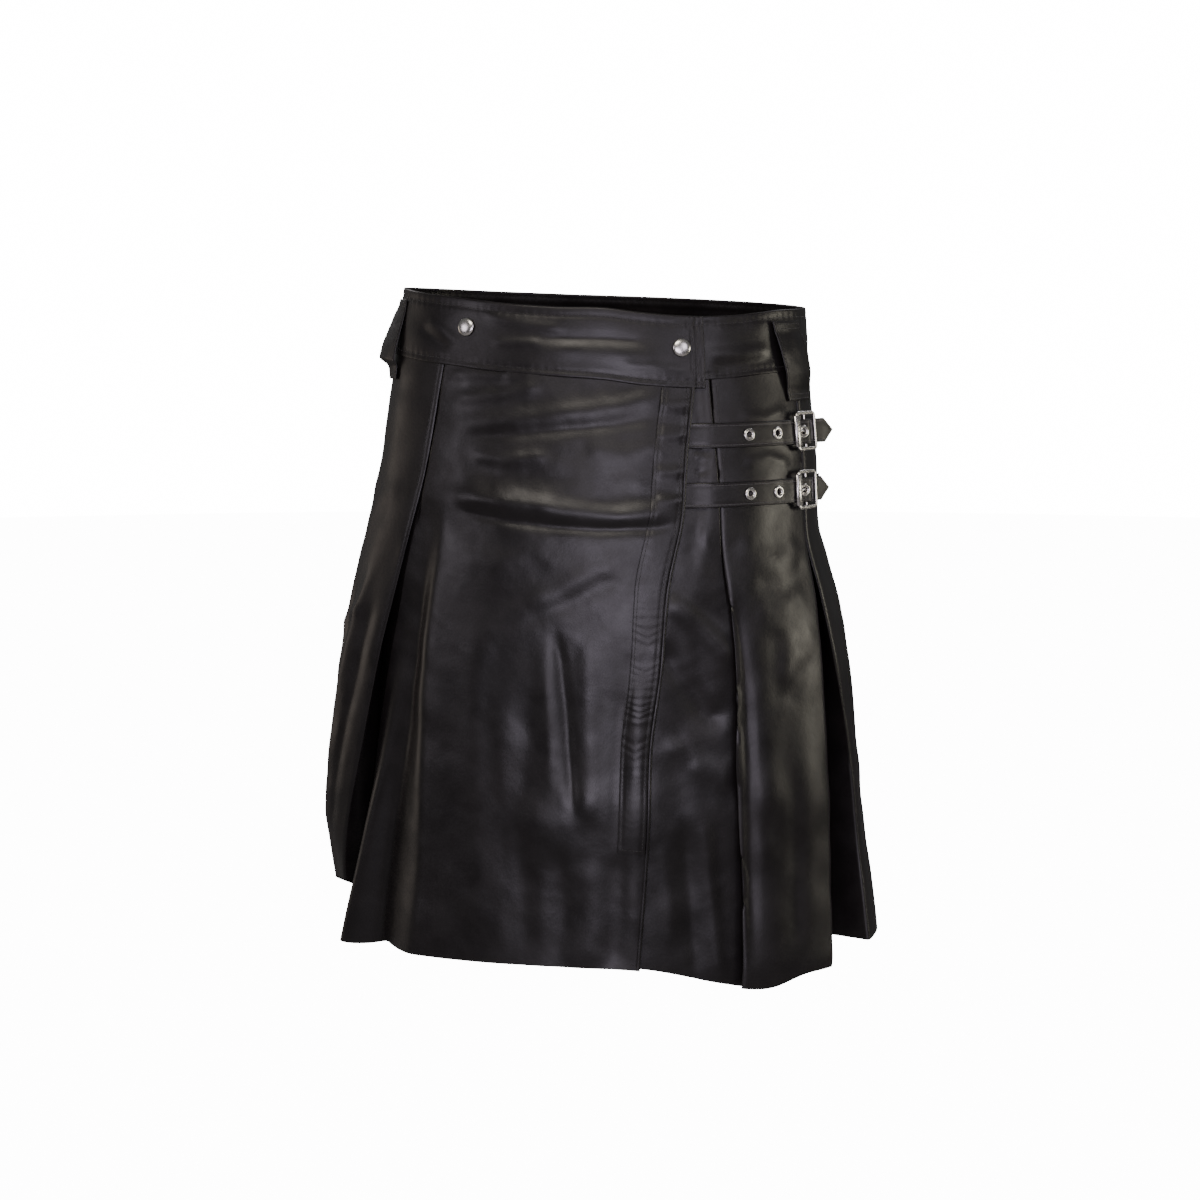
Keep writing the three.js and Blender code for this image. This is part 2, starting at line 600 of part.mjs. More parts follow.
STRAPS.forEach((strap) => {
  const root = alongOf(strap, STRAP_ROOT);
  const lapped = alongOf(strap, DIVE.from);
  const stations = [root];
  for (let along = root + 12; along < lapped - 30; along += 12) stations.push(along);
  for (let along = lapped - 24; along < lapped; along += 4) stations.push(along);
  for (let along = lapped; along < -36; along += 9) stations.push(along);
  const shoulder = strap.tipAt - TIP_LENGTH;
  stations.push(-32, -25, -18, -12, 0, 2, 12, 18, shoulder, strap.tipAt);
  const halfWidth = (along) =>
    (STRAP_WIDTH / 2) * mix(1, TIP_SHARE, Math.max(0, (along - shoulder) / TIP_LENGTH));
  let body = toSolid(strip(strap, stations, halfWidth, (a) => strapOff(strap, a), STRAP_WALL));
  const slopeTilt = Math.atan2(HUMP.off[3] - HUMP.off[2], HUMP.along[3] - HUMP.along[2]);
  [0, 1, 2].forEach((k) => {
    const along = EYELET_FIRST - k * EYELET_SPACING;
    const off = strapOff(strap, along);
    const tilt = k ? 0 : slopeTilt;
    const punched = EYELET_BARREL + SEAM_GAP;
    const punch = new THREE.CylinderGeometry(punched, punched, 12, LATHE_SIDES);
    body = body.subtract(toSolid(placeOnStrap(punch.rotateX(Math.PI / 2), strap, along, off, tilt)));
    const top = STRAP_WALL / 2 + SEAM_GAP;
    const ring = turnedBody([
      [EYELET_HOLE, -top],
      [EYELET_BARREL, -top],
      [EYELET_BARREL, top],
      [EYELET_OUTER, top],
      [EYELET_OUTER - 0.9, top + 0.9],
      [EYELET_HOLE + 0.5, top + 0.9],
      [EYELET_HOLE, top + 0.4],
      [EYELET_HOLE, -top],
    ]);
    add(`eyelet_${strap.name}_${3 - k}`, placeOnStrap(ring, strap, along, off, tilt), steel);
  });
  add(`strap_${strap.name}`, fromSolid(body), black);

  // Frame with its two side bars, bowed over the middle bar
  const shape = new THREE.Shape(roundedFrame(BUCKLE_LENGTH, BUCKLE_HEIGHT, 4).getPoints(3));
  const hole = roundedFrame(BUCKLE_LENGTH - 2 * BUCKLE_BAR, BUCKLE_HEIGHT - 2 * BUCKLE_BAR, 1.5);
  shape.holes.push(new THREE.Path(hole.getPoints(2)));
  const bevel = 0.7;
  const frameBody = new THREE.ExtrudeGeometry(shape, {
    depth: BUCKLE_WALL - 2 * bevel,
    bevelThickness: bevel,
    bevelSize: bevel,
    bevelOffset: -bevel,
    bevelSegments: 1,
    steps: 1,
  }).translate(0, 0, SIDE_BAR_OFF - BUCKLE_WALL / 2 + bevel);
  // The middle bar is fixed to lugs under the frame's upper and lower sides.
  const lugY = BUCKLE_HEIGHT / 2 - BUCKLE_BAR / 2;
  const bar = new THREE.CylinderGeometry(CENTRE_BAR_RADIUS, CENTRE_BAR_RADIUS, 2 * lugY, 12).translate(
    0,
    0,
    CENTRE_BAR_OFF,
  );
  const lug = (sign) =>
    new THREE.BoxGeometry(3.4, BUCKLE_BAR - 1, SIDE_BAR_OFF - CENTRE_BAR_OFF + 1.4).translate(
      0,
      sign * lugY,
      (SIDE_BAR_OFF + CENTRE_BAR_OFF) / 2 - 0.7,
    );
  const whole = toSolid(frameBody).add(toSolid(bar)).add(toSolid(lug(1))).add(toSolid(lug(-1)));
  add(`buckle_${strap.name}`, placeOnStrap(fromSolid(whole), strap, 0, 0), steel);

  // Prong: an eye round the middle bar, and an arm that comes up through the eyelet and rests on the frame
  const eye = new THREE.Shape();
  eye.absarc(0, 0, CENTRE_BAR_RADIUS + SEAM_GAP + 1.2, 0, 2 * Math.PI);
  const bore = new THREE.Path();
  bore.absarc(0, 0, CENTRE_BAR_RADIUS + SEAM_GAP, 0, 2 * Math.PI);
  eye.holes.push(bore);
  const eyeBody = new THREE.ExtrudeGeometry(eye, { depth: 3, bevelEnabled: false, curveSegments: 10 })
    .translate(0, 0, -1.5)
    .rotateX(Math.PI / 2)
    .translate(0, 0, CENTRE_BAR_OFF);
  const route = new THREE.CatmullRomCurve3(
    [
      [-2.2, 3.9],
      [-4.2, 3.8],
      [-5.7, 5.2],
      [-6.5, 7.6],
      [-8.4, 9.5],
      [-12, 9.7],
      [-16, 9.5],
    ].map(([along, off]) => new THREE.Vector3(along, 0, off)),
  );
  const round = new THREE.Shape();
  round.absarc(0, 0, PRONG_RADIUS, 0, 2 * Math.PI);
  const arm = new THREE.ExtrudeGeometry(round, { extrudePath: route, steps: 12, curveSegments: 4 });
  add(`prong_${strap.name}`, placeOnStrap(fromSolid(toSolid(eyeBody).add(toSolid(arm))), strap, 0, 0), steel);

  // Chape: sewn on the second pleat, wrapped round the middle bar and back on itself, slotted for the prong
  const turn = CENTRE_BAR_RADIUS + SEAM_GAP + CHAPE_WALL / 2;
  const lies = (along) => chapeOff(strap, along) + LEATHER / 2 + 3 * SEAM_GAP + CHAPE_WALL / 2;
  const profile = [];
  for (let along = 48; along > 6; along -= 7) profile.push([along, lies(along)]);
  profile.push([2, CENTRE_BAR_OFF - turn]);
  for (let k = 0; k <= 6; k++) {
    const a = -90 - 30 * k;
    profile.push([turn * Math.cos(a * RAD), CENTRE_BAR_OFF + turn * Math.sin(a * RAD)]);
  }
  profile.push([3.4, CENTRE_BAR_OFF + 1]);
  profile.push([7.5, lies(7.5) + CHAPE_WALL + 3 * SEAM_GAP], [15, lies(15) + CHAPE_WALL + 2 * SEAM_GAP]);
  add(`chape_${strap.name}`, chapeBody(strap, profile), black);
});

// How far the garment's face lies behind the strap's straight line at a distance past the buckle.
function chapeOff(strap, along) {
  const { origin, tangent, normal } = strapFrame(strap.z);
  const past = along + strap.buckleAt;
  const line = [origin[0] + tangent[0] * past, origin[1] + tangent[1] * past];
  let best = 0;
  let nearest = Infinity;
  for (let angle = STRAIGHT_FROM; angle < 120; angle += 0.5) {
    const p = surface(angle, strap.z, 0);
    const side = Math.abs((p[0] - line[0]) * tangent[0] + (p[1] - line[1]) * tangent[1]);
    if (side < nearest) {
      nearest = side;
      best = (p[0] - line[0]) * normal[0] + (p[1] - line[1]) * normal[1];
    }
  }
  return best;
}
function chapeBody(strap, profile) {
  const halfWidth = STRAP_WIDTH / 2;
  const grid = (sign) =>
    profile.map((p, i) => {
      const a = profile[Math.max(i - 1, 0)];
      const b = profile[Math.min(i + 1, profile.length - 1)];
      const l = Math.hypot(b[0] - a[0], b[1] - a[1]);
      const n = [(b[1] - a[1]) / l, -(b[0] - a[0]) / l];
      const shift = (sign * CHAPE_WALL) / 2;
      const moved = [p[0] + n[0] * shift, p[1] + n[1] * shift];
      return [halfWidth, -halfWidth].map((up) => onStrap(strap, ...moved, up));
    });
  const body = toSolid(shellGeometry(grid(1), grid(-1)));
  const slot = new THREE.BoxGeometry(12, 4.4, 14).translate(-1, 0, CENTRE_BAR_OFF + 2);
  return fromSolid(body.subtract(toSolid(placeOnStrap(slot, strap, 0, 0))));
}

// Snap caps on the waistband: domed discs just clear of it
[
  ["snap_right", -40.4, 24.5],
  ["snap_left", 21.3, 24.5],
].forEach(([name, angle, below]) => {
  const z = topEdge(angle) - below;
  const dome = turnedBody(
    [
      [0, 0],
      [SNAP_RADIUS - 0.6, 0],
      [SNAP_RADIUS, 0.7],
      [SNAP_RADIUS - 0.5, 1.5],
      [SNAP_RADIUS * 0.7, 2.4],
      [SNAP_RADIUS * 0.35, 2.9],
      [0, 3.05],
    ],
    24,
  );
  const [x, y] = surface(angle, z, BAND_WALL / 2 + 2 * SEAM_GAP);
  const at = (turn, height) => new THREE.Vector3(...surface(turn, height, 0), height);
  const along = at(angle + 1, z).sub(at(angle - 1, z));
  const up = at(angle, z + 5).sub(at(angle, z - 5));
  const outward = new THREE.Vector3().crossVectors(along, up).normalize();
  dome.applyQuaternion(new THREE.Quaternion().setFromUnitVectors(new THREE.Vector3(0, 0, 1), outward));
  add(name, dome.translate(x, y, z), steel);
});

// Belt loops: strips that stand off the band, sewn on at its top and to the panels just under it
const LOOPS = [
  { name: "belt_loop_front_left", angle: 62, slant: 6 },
  { name: "belt_loop_back_left", angle: 118, slant: 0 },
  { name: "belt_loop_back", angle: 180, slant: 0 },
  { name: "belt_loop_back_right", angle: -125, slant: 0 },
  { name: "belt_loop_front_right", angle: -83, slant: 0 },
];
const LOOP_PROFILE = [
  { down: 10, off: 2.6 },
  { down: 19, off: 2.8 },
  { down: 27, off: 8.6 },
  { down: 40, off: 10.2 },
  { down: 54, off: 9.4 },
  { down: 66, off: 3.4 },
  { down: 72, off: 2.1 },
  { down: 82, off: 2.0 },
];
const LOOP_COLUMNS = 3;
LOOPS.forEach(({ name, angle, slant }) => {
  const rows = LOOP_PROFILE.map(({ down, off }) => {
    const middle = angle + (slant * (down - 10)) / 72;
    const row = [];
    for (let k = 0; k <= LOOP_COLUMNS; k++) {
      const z = topEdge(turned(middle)) - down;
      const at = middle + ((k / LOOP_COLUMNS - 0.5) * LOOP_WIDTH) / perDegree(middle, z);
      row.push([...surface(at, z, off), z]);
    }
    return row;
  });
  add(name, wallGeometry(rows, LEATHER), black);
});

export default kilt;
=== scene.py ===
"""Black leather kilt, hollow as it is worn: aprons, box pleats, waistband, buckled straps and fittings."""
import math

import bmesh
import bpy
import numpy as np
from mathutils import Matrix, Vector


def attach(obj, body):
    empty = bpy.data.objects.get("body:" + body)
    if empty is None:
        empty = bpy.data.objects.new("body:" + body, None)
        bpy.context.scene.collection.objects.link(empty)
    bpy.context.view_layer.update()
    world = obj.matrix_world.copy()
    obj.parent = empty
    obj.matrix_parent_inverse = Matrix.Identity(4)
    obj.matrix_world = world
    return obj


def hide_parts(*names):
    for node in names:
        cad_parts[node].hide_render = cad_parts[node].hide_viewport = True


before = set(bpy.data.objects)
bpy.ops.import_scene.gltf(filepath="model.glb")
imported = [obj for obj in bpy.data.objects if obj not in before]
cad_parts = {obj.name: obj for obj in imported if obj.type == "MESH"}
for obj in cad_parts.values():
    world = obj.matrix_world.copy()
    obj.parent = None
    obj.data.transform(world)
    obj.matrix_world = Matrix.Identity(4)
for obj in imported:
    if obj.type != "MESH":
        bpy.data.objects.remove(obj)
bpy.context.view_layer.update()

# The photograph's view: a long lens at waist height, 2.6 m in front, that looks down a little.
# The lens lies as far behind the picture, which is 1200 pixels wide, as 2826 of its pixels.
PICTURE = 1200
LENS_PIXELS = 2826
SENSOR = 36
camera_data = bpy.data.cameras.new("photo_view")
camera_data.sensor_width = SENSOR
camera_data.lens = SENSOR * LENS_PIXELS / PICTURE
camera = bpy.data.objects.new("photo_view", camera_data)
camera.location = (-0.0037, -2.6, 0.06)
camera.rotation_euler = (math.radians(90 - 7.04), 0, 0)
bpy.context.collection.objects.link(camera)
bpy.context.scene.camera = camera

# The under apron: the panel of black nappa beneath the front, from its free inner edge to the first pleat.
# It is cut in one piece, raw at the hem, and its top is sewn into the waistband.
# This section also has what every panel shares: the worn shape, the leather wall, the creases and the finish.
LEATHER = 1.4  # thickness in millimetres, as are all the sizes below
SEAM_LAP = 0.3  # how far a sewn panel runs past its seam
FOLD = 2.4  # round a folded edge, from skin to skin
BAND_HEIGHT = 60
LEVELS = [-55, -190, -300, -400, -470, -575]
PLAN_Z = [30, -55, -130, -190, -250, -300, -400, -470, -575]


def curve(places, values):
    """Smooth line through a table: a cubic between neighbours, whose slope at a place is twice the product of
    the slopes beside it over their sum, and nothing at a peak, so that it never swings past the table."""
    x = np.array(places, float)
    y = np.array(values, float)
    if x[0] > x[-1]:
        x, y = x[::-1], y[::-1]
    step = np.diff(x)
    slope = np.diff(y) / step
    product = slope[:-1] * slope[1:]
    total = slope[:-1] + slope[1:]
    inner = np.where(product > 0, 2 * product / np.where(product > 0, total, 1), 0)
    m = np.concatenate([slope[:1], inner, slope[-1:]])

    def at(v):
        """Value of the line at v, level beyond the table's ends."""
        v = np.clip(v, x[0], x[-1])
        i = np.clip(np.searchsorted(x, v, side="right") - 1, 0, len(step) - 1)
        h = step[i]
        t = (v - x[i]) / h
        rise = (3 * t**2 - 2 * t**3) * (y[i + 1] - y[i])
        return y[i] + rise + (t**3 - 2 * t**2 + t) * h * m[i] + (t**3 - t**2) * h * m[i + 1]

    return at


def by_level(values):
    """Table with one value for each of LEVELS."""
    return curve(LEVELS, values)


def ease(share):
    """Soft step from 0 to 1: 3 s² - 2 s³."""
    s = np.clip(share, 0, 1)
    return s * s * (3 - 2 * s)


def mix(a, b, share):
    """Straight mix: a + (b - a) times the share."""
    return a + (b - a) * share


def bell(distance, width):
    """Bell curve: exp(-(distance / width)²)."""
    return np.exp(-((distance / width) ** 2))


def rounded(inward, radius):
    """Share of the full wall beside a round edge: sqrt(1 - (1 - s)²), s = inward / radius, from 0 to 1."""
    return np.sqrt(1 - (1 - np.clip(inward / radius, 0, 1)) ** 2)


def lengths_along(points):
    """Length from the first point to each along the last line of points: running sums of distances."""
    steps = np.linalg.norm(np.diff(points, axis=-2), axis=-1)
    return np.concatenate([0 * steps[..., :1], np.cumsum(steps, -1)], -1)


half_left = curve(PLAN_Z, [181, 188, 195, 198, 213, 223, 234, 241, 257])
half_right = curve(PLAN_Z, [181, 194, 205, 218, 231, 241, 254, 260, 264])
half_front = curve(PLAN_Z, [119, 128, 138, 145, 149, 151, 155, 158, 165])
half_back = curve(PLAN_Z, [124, 138, 155, 168, 178, 186, 200, 210, 225])
top_edge = curve(
    [-180, -90, -48, -27, -15, 0, 10, 20, 28, 36, 48, 62, 90, 180],
    [18, 27, 20, 14, 11.5, 8, 3.5, 0.8, 0, 1.2, 5, 8, 9, 18],
)
hem_edge = curve(
    [-180, -120, -95, -68, -55, -38, -18, 0, 10, 17, 23, 34, 39, 43, 52, 70, 100, 180],
    [
        -566, -562, -568, -575, -567, -566, -567, -569, -573, -581, -587, -595, -593, -585, -584, -572, -568,
        -566,
    ],
)


def turned(angle):
    """The same angle within half a turn of the front."""
    return angle - 360 * np.round(angle / 360)


def axes(angle, z):
    """Half width and half depth of the worn plan on the side where the angle lies."""
    a = np.radians(angle)
    wide = np.where(np.sin(a) >= 0, half_left(z), half_right(z))
    return wide, np.where(np.cos(a) >= 0, half_front(z), half_back(z))


def per_degree(angle, z):
    """Millimetres round the plan for a degree: pi / 180 times the length of (a cos, b sin)."""
    a, b = axes(angle, z)
    t = np.radians(angle)
    return np.radians(np.hypot(a * np.cos(t), b * np.sin(t)))


def surface(angle, z, off):
    """Points (a sin t, -b cos t, z) of the plan, moved outwards by off along the level normal."""
    angle, z, off = np.broadcast_arrays(np.asarray(angle, float), z, off)
    a, b = axes(angle, z)
    t = np.radians(angle)
    nx, ny = np.sin(t) / a, -np.cos(t) / b
    out = off / np.hypot(nx, ny)
    return np.stack([a * np.sin(t) + out * nx, -b * np.cos(t) + out * ny, z + 0.0 * off], -1)


band_lift = curve([24, 28.5, 45, 62, 80], [0, 7, 6, 4, 0])  # how much higher the band's lower edge is


def row_height(row, angle, lift=0):
    """Height of a row: rows run from -55 under the band to -575, stretched to the real band and hem."""
    top = top_edge(turned(angle)) - BAND_HEIGHT + 2 * SEAM_LAP + band_lift(turned(angle))
    return mix(top, hem_edge(turned(angle)) + lift, (row - LEVELS[0]) / (LEVELS[-1] - LEVELS[0]))


def rolled(points, steps):
    """Cubic B-spline along the second axis, with the given steps in each span. The weights of 4 neighbours
    are (1-t)³/6, (3t³-6t²+4)/6, (-3t³+3t²+3t+1)/6 and t³/6. Mirrored ends make it reach both end points."""
    count = points.shape[1]
    t = np.concatenate([np.arange(n) / n + k for k, n in enumerate(steps)] + [[count - 1]])
    k = np.minimum(t.astype(int), count - 2)
    t = t - k
    weights = [(1 - t) ** 3, 3 * t**3 - 6 * t**2 + 4, -3 * t**3 + 3 * t**2 + 3 * t + 1, t**3]
    first = 2 * points[:, :1] - points[:, 1:2]
    last = 2 * points[:, -1:] - points[:, -2:-1]
    ends = np.concatenate([first, points, last], 1)
    return sum(ends[:, k + i] * w[:, None] / 6 for i, w in enumerate(weights))


def normals_of(grid):
    """Unit normals of a grid whose rows run down and whose columns run to the wearer's left."""
    n = np.cross(np.gradient(grid, axis=0), np.gradient(grid, axis=1))
    return n / np.linalg.norm(n, axis=2, keepdims=True)


def crease_relief(across, height, creases):
    """Height of soft folds over a panel. Each crease is (depth, width, points): a line of points (across,
    height) whose rise is depth times bell(distance, width), and ends softly over a fifth of its length."""
    relief = np.zeros(across.shape)
    for depth, width, line in creases:
        line = np.array(line, float)
        start = lengths_along(line)
        nearest = np.full(across.shape, 1e9)
        along = np.zeros(across.shape)
        for here, ahead, before, length in zip(line, line[1:], start, np.diff(start)):
            d = (ahead - here) / length
            right, up = across - here[0], height - here[1]
            s = np.clip(right * d[0] + up * d[1], 0, length)
            gap = np.hypot(right - s * d[0], up - s * d[1])
            along = np.where(gap < nearest, before + s, along)
            nearest = np.minimum(gap, nearest)
        share = along / start[-1]
        relief += depth * bell(nearest, width) * ease(share * 5) * ease((1 - share) * 5)
    return relief


def slack(across, height, size, depth, seed):
    """Soft unevenness of worn leather: depth / 3 times the sum of nine waves, in all directions and about as
    long as size."""
    rng = np.random.default_rng(seed)
    total = np.zeros(np.broadcast(across, height).shape)
    for turn in np.arange(9) * 0.72 + rng.uniform(0, 0.4, 9):
        length = size * rng.uniform(0.7, 1.6)
        phase = 2 * np.pi * (across * np.cos(turn) + height * np.sin(turn)) / length
        total += np.sin(phase + 1.4 * np.sin(phase * 0.37 + rng.uniform(0, 6)) + rng.uniform(0, 6))
    return total * depth / 3


SHARP = math.radians(50)


def smooth_piece(name, points, faces):
    """Linked object with smooth faces from points in millimetres."""
    mesh = bpy.data.meshes.new(name)
    mesh.from_pydata(points.reshape(-1, 3) * 0.001, [], faces)
    mesh.polygons.foreach_set("use_smooth", np.ones(len(mesh.polygons), bool))
    piece = bpy.data.objects.new(name, mesh)
    bpy.context.collection.objects.link(piece)
    return piece


def shell(name, outer, inner):
    """Closed piece of leather between two grids of points in millimetres: grain side, flesh side and rim."""
    rows, columns = outer.shape[:2]
    count = rows * columns
    at = np.arange(count).reshape(rows, columns)
    face = np.stack([at[:-1, :-1], at[1:, :-1], at[1:, 1:], at[:-1, 1:]], -1).reshape(-1, 4)
    ring = np.concatenate([at[0, :-1], at[:-1, -1], at[-1, :0:-1], at[:0:-1, 0]])
    after = np.roll(ring, -1)
    rim = np.stack([ring, after, after + count, ring + count], -1)
    piece = smooth_piece(name, np.stack([outer, inner]), np.concatenate([face, face[:, ::-1] + count, rim]))
    piece.data.set_sharp_from_angle(angle=SHARP)
    return piece


skins = {}  # the grain side of each piece: its points and normals


def walled(name, middle, normal, half_wall):
    """Piece with half its wall on either side of a middle surface."""
    skins[name] = (middle + normal * half_wall, normal)
    return shell(name + "_leather", skins[name][0], middle - normal * half_wall)


def leather_piece(name, grid, relief):
    """Piece whose middle surface is the grid raised by relief."""
    middle = grid + normals_of(grid) * relief[..., None]
    return walled(name, middle, normals_of(middle), LEATHER / 2)


def group_output(group, name, kind, value):
    """New output of a node group, fed by a socket."""
    group.interface.new_socket(name, in_out="OUTPUT", socket_type=kind)
    group.links.new(value, group.nodes["out"].inputs[name])


def set_inputs(node, values):
    """Sets the sockets of a node from a dictionary."""
    for name, value in values.items():
        node.inputs[name].default_value = value


def nappa_grain():
    """Node group for nappa: pebbled grain and soft wrinkles as a normal, with patches of wear in the colour
    and roughness. Inputs are the two colours, the two roughnesses and the height of the wrinkles."""
    group = bpy.data.node_groups.new("nappa_grain", "ShaderNodeTree")
    for name in ("Black", "Brown"):
        group.interface.new_socket(name, in_out="INPUT", socket_type="NodeSocketColor")
    for name in ("Sheen", "Dull", "Wrinkle"):
        group.interface.new_socket(name, in_out="INPUT", socket_type="NodeSocketFloat")
    nodes, link = group.nodes, group.links.new
    inputs = nodes.new("NodeGroupInput")
    output = nodes.new("NodeGroupOutput")
    output.name = "out"
    place = nodes.new("ShaderNodeTexCoord").outputs["Object"]

    def noise(scale, detail, rough=0.5):
        """Noise from 0 to 1 over the piece."""
        node = nodes.new("ShaderNodeTexNoise")
        set_inputs(node, {"Scale": scale, "Detail": detail, "Roughness": rough})
        link(place, node.inputs["Vector"])
        return node.outputs["Fac"]

    def bump(height, strength, distance, before=None):
        """Bump from a height in metres, on top of the one before it."""
        node = nodes.new("ShaderNodeBump")
        set_inputs(node, {"Strength": strength, "Distance": distance})
        link(height, node.inputs["Height"])
        if before:
            link(before, node.inputs["Normal"])
        return node

    pebble = nodes.new("ShaderNodeTexVoronoi")
    pebble.inputs["Scale"].default_value = 720
    link(place, pebble.inputs["Vector"])
    wrinkles = bump(noise(75, 3, 0.55), 1.0, 0.0012)
    link(inputs.outputs["Wrinkle"], wrinkles.inputs["Strength"])
    creasing = bump(noise(260, 2), 0.25, 0.0004, wrinkles.outputs["Normal"])
    grain = bump(pebble.outputs["Distance"], 0.12, 0.0002, creasing.outputs["Normal"])
    wear = noise(17, 4, 0.6)
    shade = nodes.new("ShaderNodeMix")
    shade.data_type = "RGBA"
    link(wear, shade.inputs["Factor"])
    link(inputs.outputs["Black"], shade.inputs["A"])
    link(inputs.outputs["Brown"], shade.inputs["B"])
    rough = nodes.new("ShaderNodeMapRange")
    link(noise(34, 3, 0.6), rough.inputs["Value"])
    set_inputs(rough, {"From Min": 0.3, "From Max": 0.7})
    link(inputs.outputs["Sheen"], rough.inputs["To Min"])
    link(inputs.outputs["Dull"], rough.inputs["To Max"])
    group_output(group, "Color", "NodeSocketColor", shade.outputs["Result"])
    group_output(group, "Roughness", "NodeSocketFloat", rough.outputs["Result"])
    group_output(group, "Normal", "NodeSocketVector", grain.outputs["Normal"])
    return group


def new_finish(name, values):
    """New material, its shader with the values set on it, its nodes and the function that links them."""
    finish = bpy.data.materials.new(name)
    finish.use_nodes = True
    shader = finish.node_tree.nodes["Principled BSDF"]
    set_inputs(shader, values)
    return finish, shader, finish.node_tree.nodes, finish.node_tree.links.new


# Dyed nappa: a dark base under a thin satin topcoat, broken up by the grain group.
leather, shader, nodes, link = new_finish("black_nappa", {
    "Specular IOR Level": 0.42,
    "Coat Weight": 0.12,
    "Coat Roughness": 0.34,
})
grain = nodes.new("ShaderNodeGroup")
grain.node_tree = nappa_grain()
set_inputs(grain, {
    "Black": (0.0032, 0.0026, 0.0030, 1),
    "Brown": (0.0080, 0.0059, 0.0062, 1),
    "Sheen": 0.33,
    "Dull": 0.47,
    "Wrinkle": 0.06,
})
for output, socket in (("Color", "Base Color"), ("Roughness", "Roughness"), ("Normal", "Normal")):
    link(grain.outputs[output], shader.inputs[socket])


def dress(piece, nodes, finish=leather):
    """A finished piece takes its finish, stands for its CAD nodes and moves with the kilt."""
    piece.data.materials.append(finish)
    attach(piece, "root")
    if nodes:
        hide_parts(*nodes)
    return piece


# Heights of the rows of points down the kilt, closer together over the hips, where the folds lie across.
ROW = np.append(np.arange(-55, -305, -2.2), np.linspace(-308, -575, 76))[:, None]


def panel_grid(angle, off, steps, lift=0):
    """Panel from the angle and off of its lines in every row (rows x lines), rolled to fine columns."""
    z = row_height(ROW, angle, lift)
    return rolled(surface(angle, z, off), steps)


# The four fold lines of the outer apron's recess: their angles, and how far out of the plan they lie.
apron_fold_angle = [
    by_level([-48, -52, -58, -66, -74, -88]),
    by_level([-46, -48.5, -52, -58.5, -64, -74]),
    by_level([-44, -45.5, -47.5, -51, -55.5, -62.5]),
    by_level([-40, -41, -42, -41, -40, -42]),
]
apron_fold_off = [
    by_level([-4.8, -4.8, -18, -30, -38, -44]),
    by_level([-4.8, -4.8, -18, -24, -20, -9]),
    by_level([-4.4, -4.4, -19, -31, -37, -40]),
    by_level([-3, -2, 0, 0, 0, 0]),
]
left_1_start = by_level([29.5, 31.3, 31, 30, 29.9, 28.3])
left_1_end = by_level([66, 67, 62.5, 60.5, 58.5, 54])
front_depth = by_level([4.8, 4.8, 7, 9, 10.5, 12])(ROW)
LEFT_1_SEAM_IN = 14
UNDER_STEPS = [6] * 13 + [4] * 9


def apron_level(angle):
    """How far inside the plan the front panels lie: they ease in beside the first right pleat."""
    return apron_fold_off[3](ROW) * ease((-22 - angle) / 18)


lap_edge = curve(
    [-55, -118, -166, -239, -310, -378, -463, -575],
    [24.8, 21.9, 20.7, 15.4, 13, 10.4, 9.3, 6.9],
)
pleat_start = left_1_start(ROW)
front_scale = per_degree(30, ROW)
# The panel's lines as millimetres to the right of the first left pleat's edge. They crowd together beside
# it, because there, as far down as the pleat is stitched, the panel comes up to it. Further down it comes up
# to the apron.
lap_gap = (pleat_start - lap_edge(ROW)) * front_scale
beside = np.concatenate([
    mix((pleat_start + 33) * front_scale, 34, np.linspace(0, 1, 11)),
    [27, 20, 14, 9, 5.5, 3.2, 2, 1.1, 0.3, 0.05, -8, -SEAM_LAP - LEFT_1_SEAM_IN] + 0 * ROW,
], 1)
under_angle = pleat_start - beside / front_scale
stitched = ease((ROW + 250) / 76)
come_up = 4.1 * stitched * ease((np.maximum(lap_gap - 15, 12) - beside) / 10) * ease((beside - 0.02) / 0.26)
come_up += (1 - stitched) * np.minimum(front_depth - 3.8, 3.4) * ease((beside - lap_gap + 26) / 22)
under_off = np.minimum(apron_level(under_angle), 0) - front_depth + come_up
under_grid = panel_grid(under_angle, under_off, UNDER_STEPS)
# Creases as (height, width, line of (x, z)) in millimetres, the ones that show beside the outer apron.
under_creases = [
    (3.6, 10, [(48, -240), (62, -249), (82, -266), (104, -290), (120, -306)]),
    (-4.4, 12, [(44, -280), (58, -300), (70, -318), (88, -342), (112, -362)]),
    (2.4, 12, [(54, -364), (66, -378), (82, -392), (100, -402), (120, -406)]),
    (-1.0, 6, [(62, -358), (72, -376), (80, -394)]),
    (3.0, 34, [(20, -440), (60, -438), (100, -436), (140, -434)]),
    (2.2, 7, [(86, -430), (92, -480), (97, -530), (104, -600)]),
    (-1.8, 7, [(70, -430), (74, -490), (78, -538), (84, -600)]),
    (1.2, 6, [(50, -452), (56, -500), (60, -560)]),
    (1.0, 3, [(78, -118), (100, -122)]),
    (-0.8, 3, [(78, -134), (100, -130)]),
]
x, z = under_grid[..., 0], under_grid[..., 2]
under_relief = crease_relief(x, z, under_creases) + slack(x, z, 46, 0.4, 3) + slack(x, z, 19, 0.1, 4)
near_pleat = (stitched * (beside < 12))[..., None]
under_relief *= 1 - 0.8 * rolled(near_pleat, UNDER_STEPS)[..., 0]
under_apron = leather_piece("under_apron", under_grid, under_relief)
dress(under_apron, ["under_apron"])

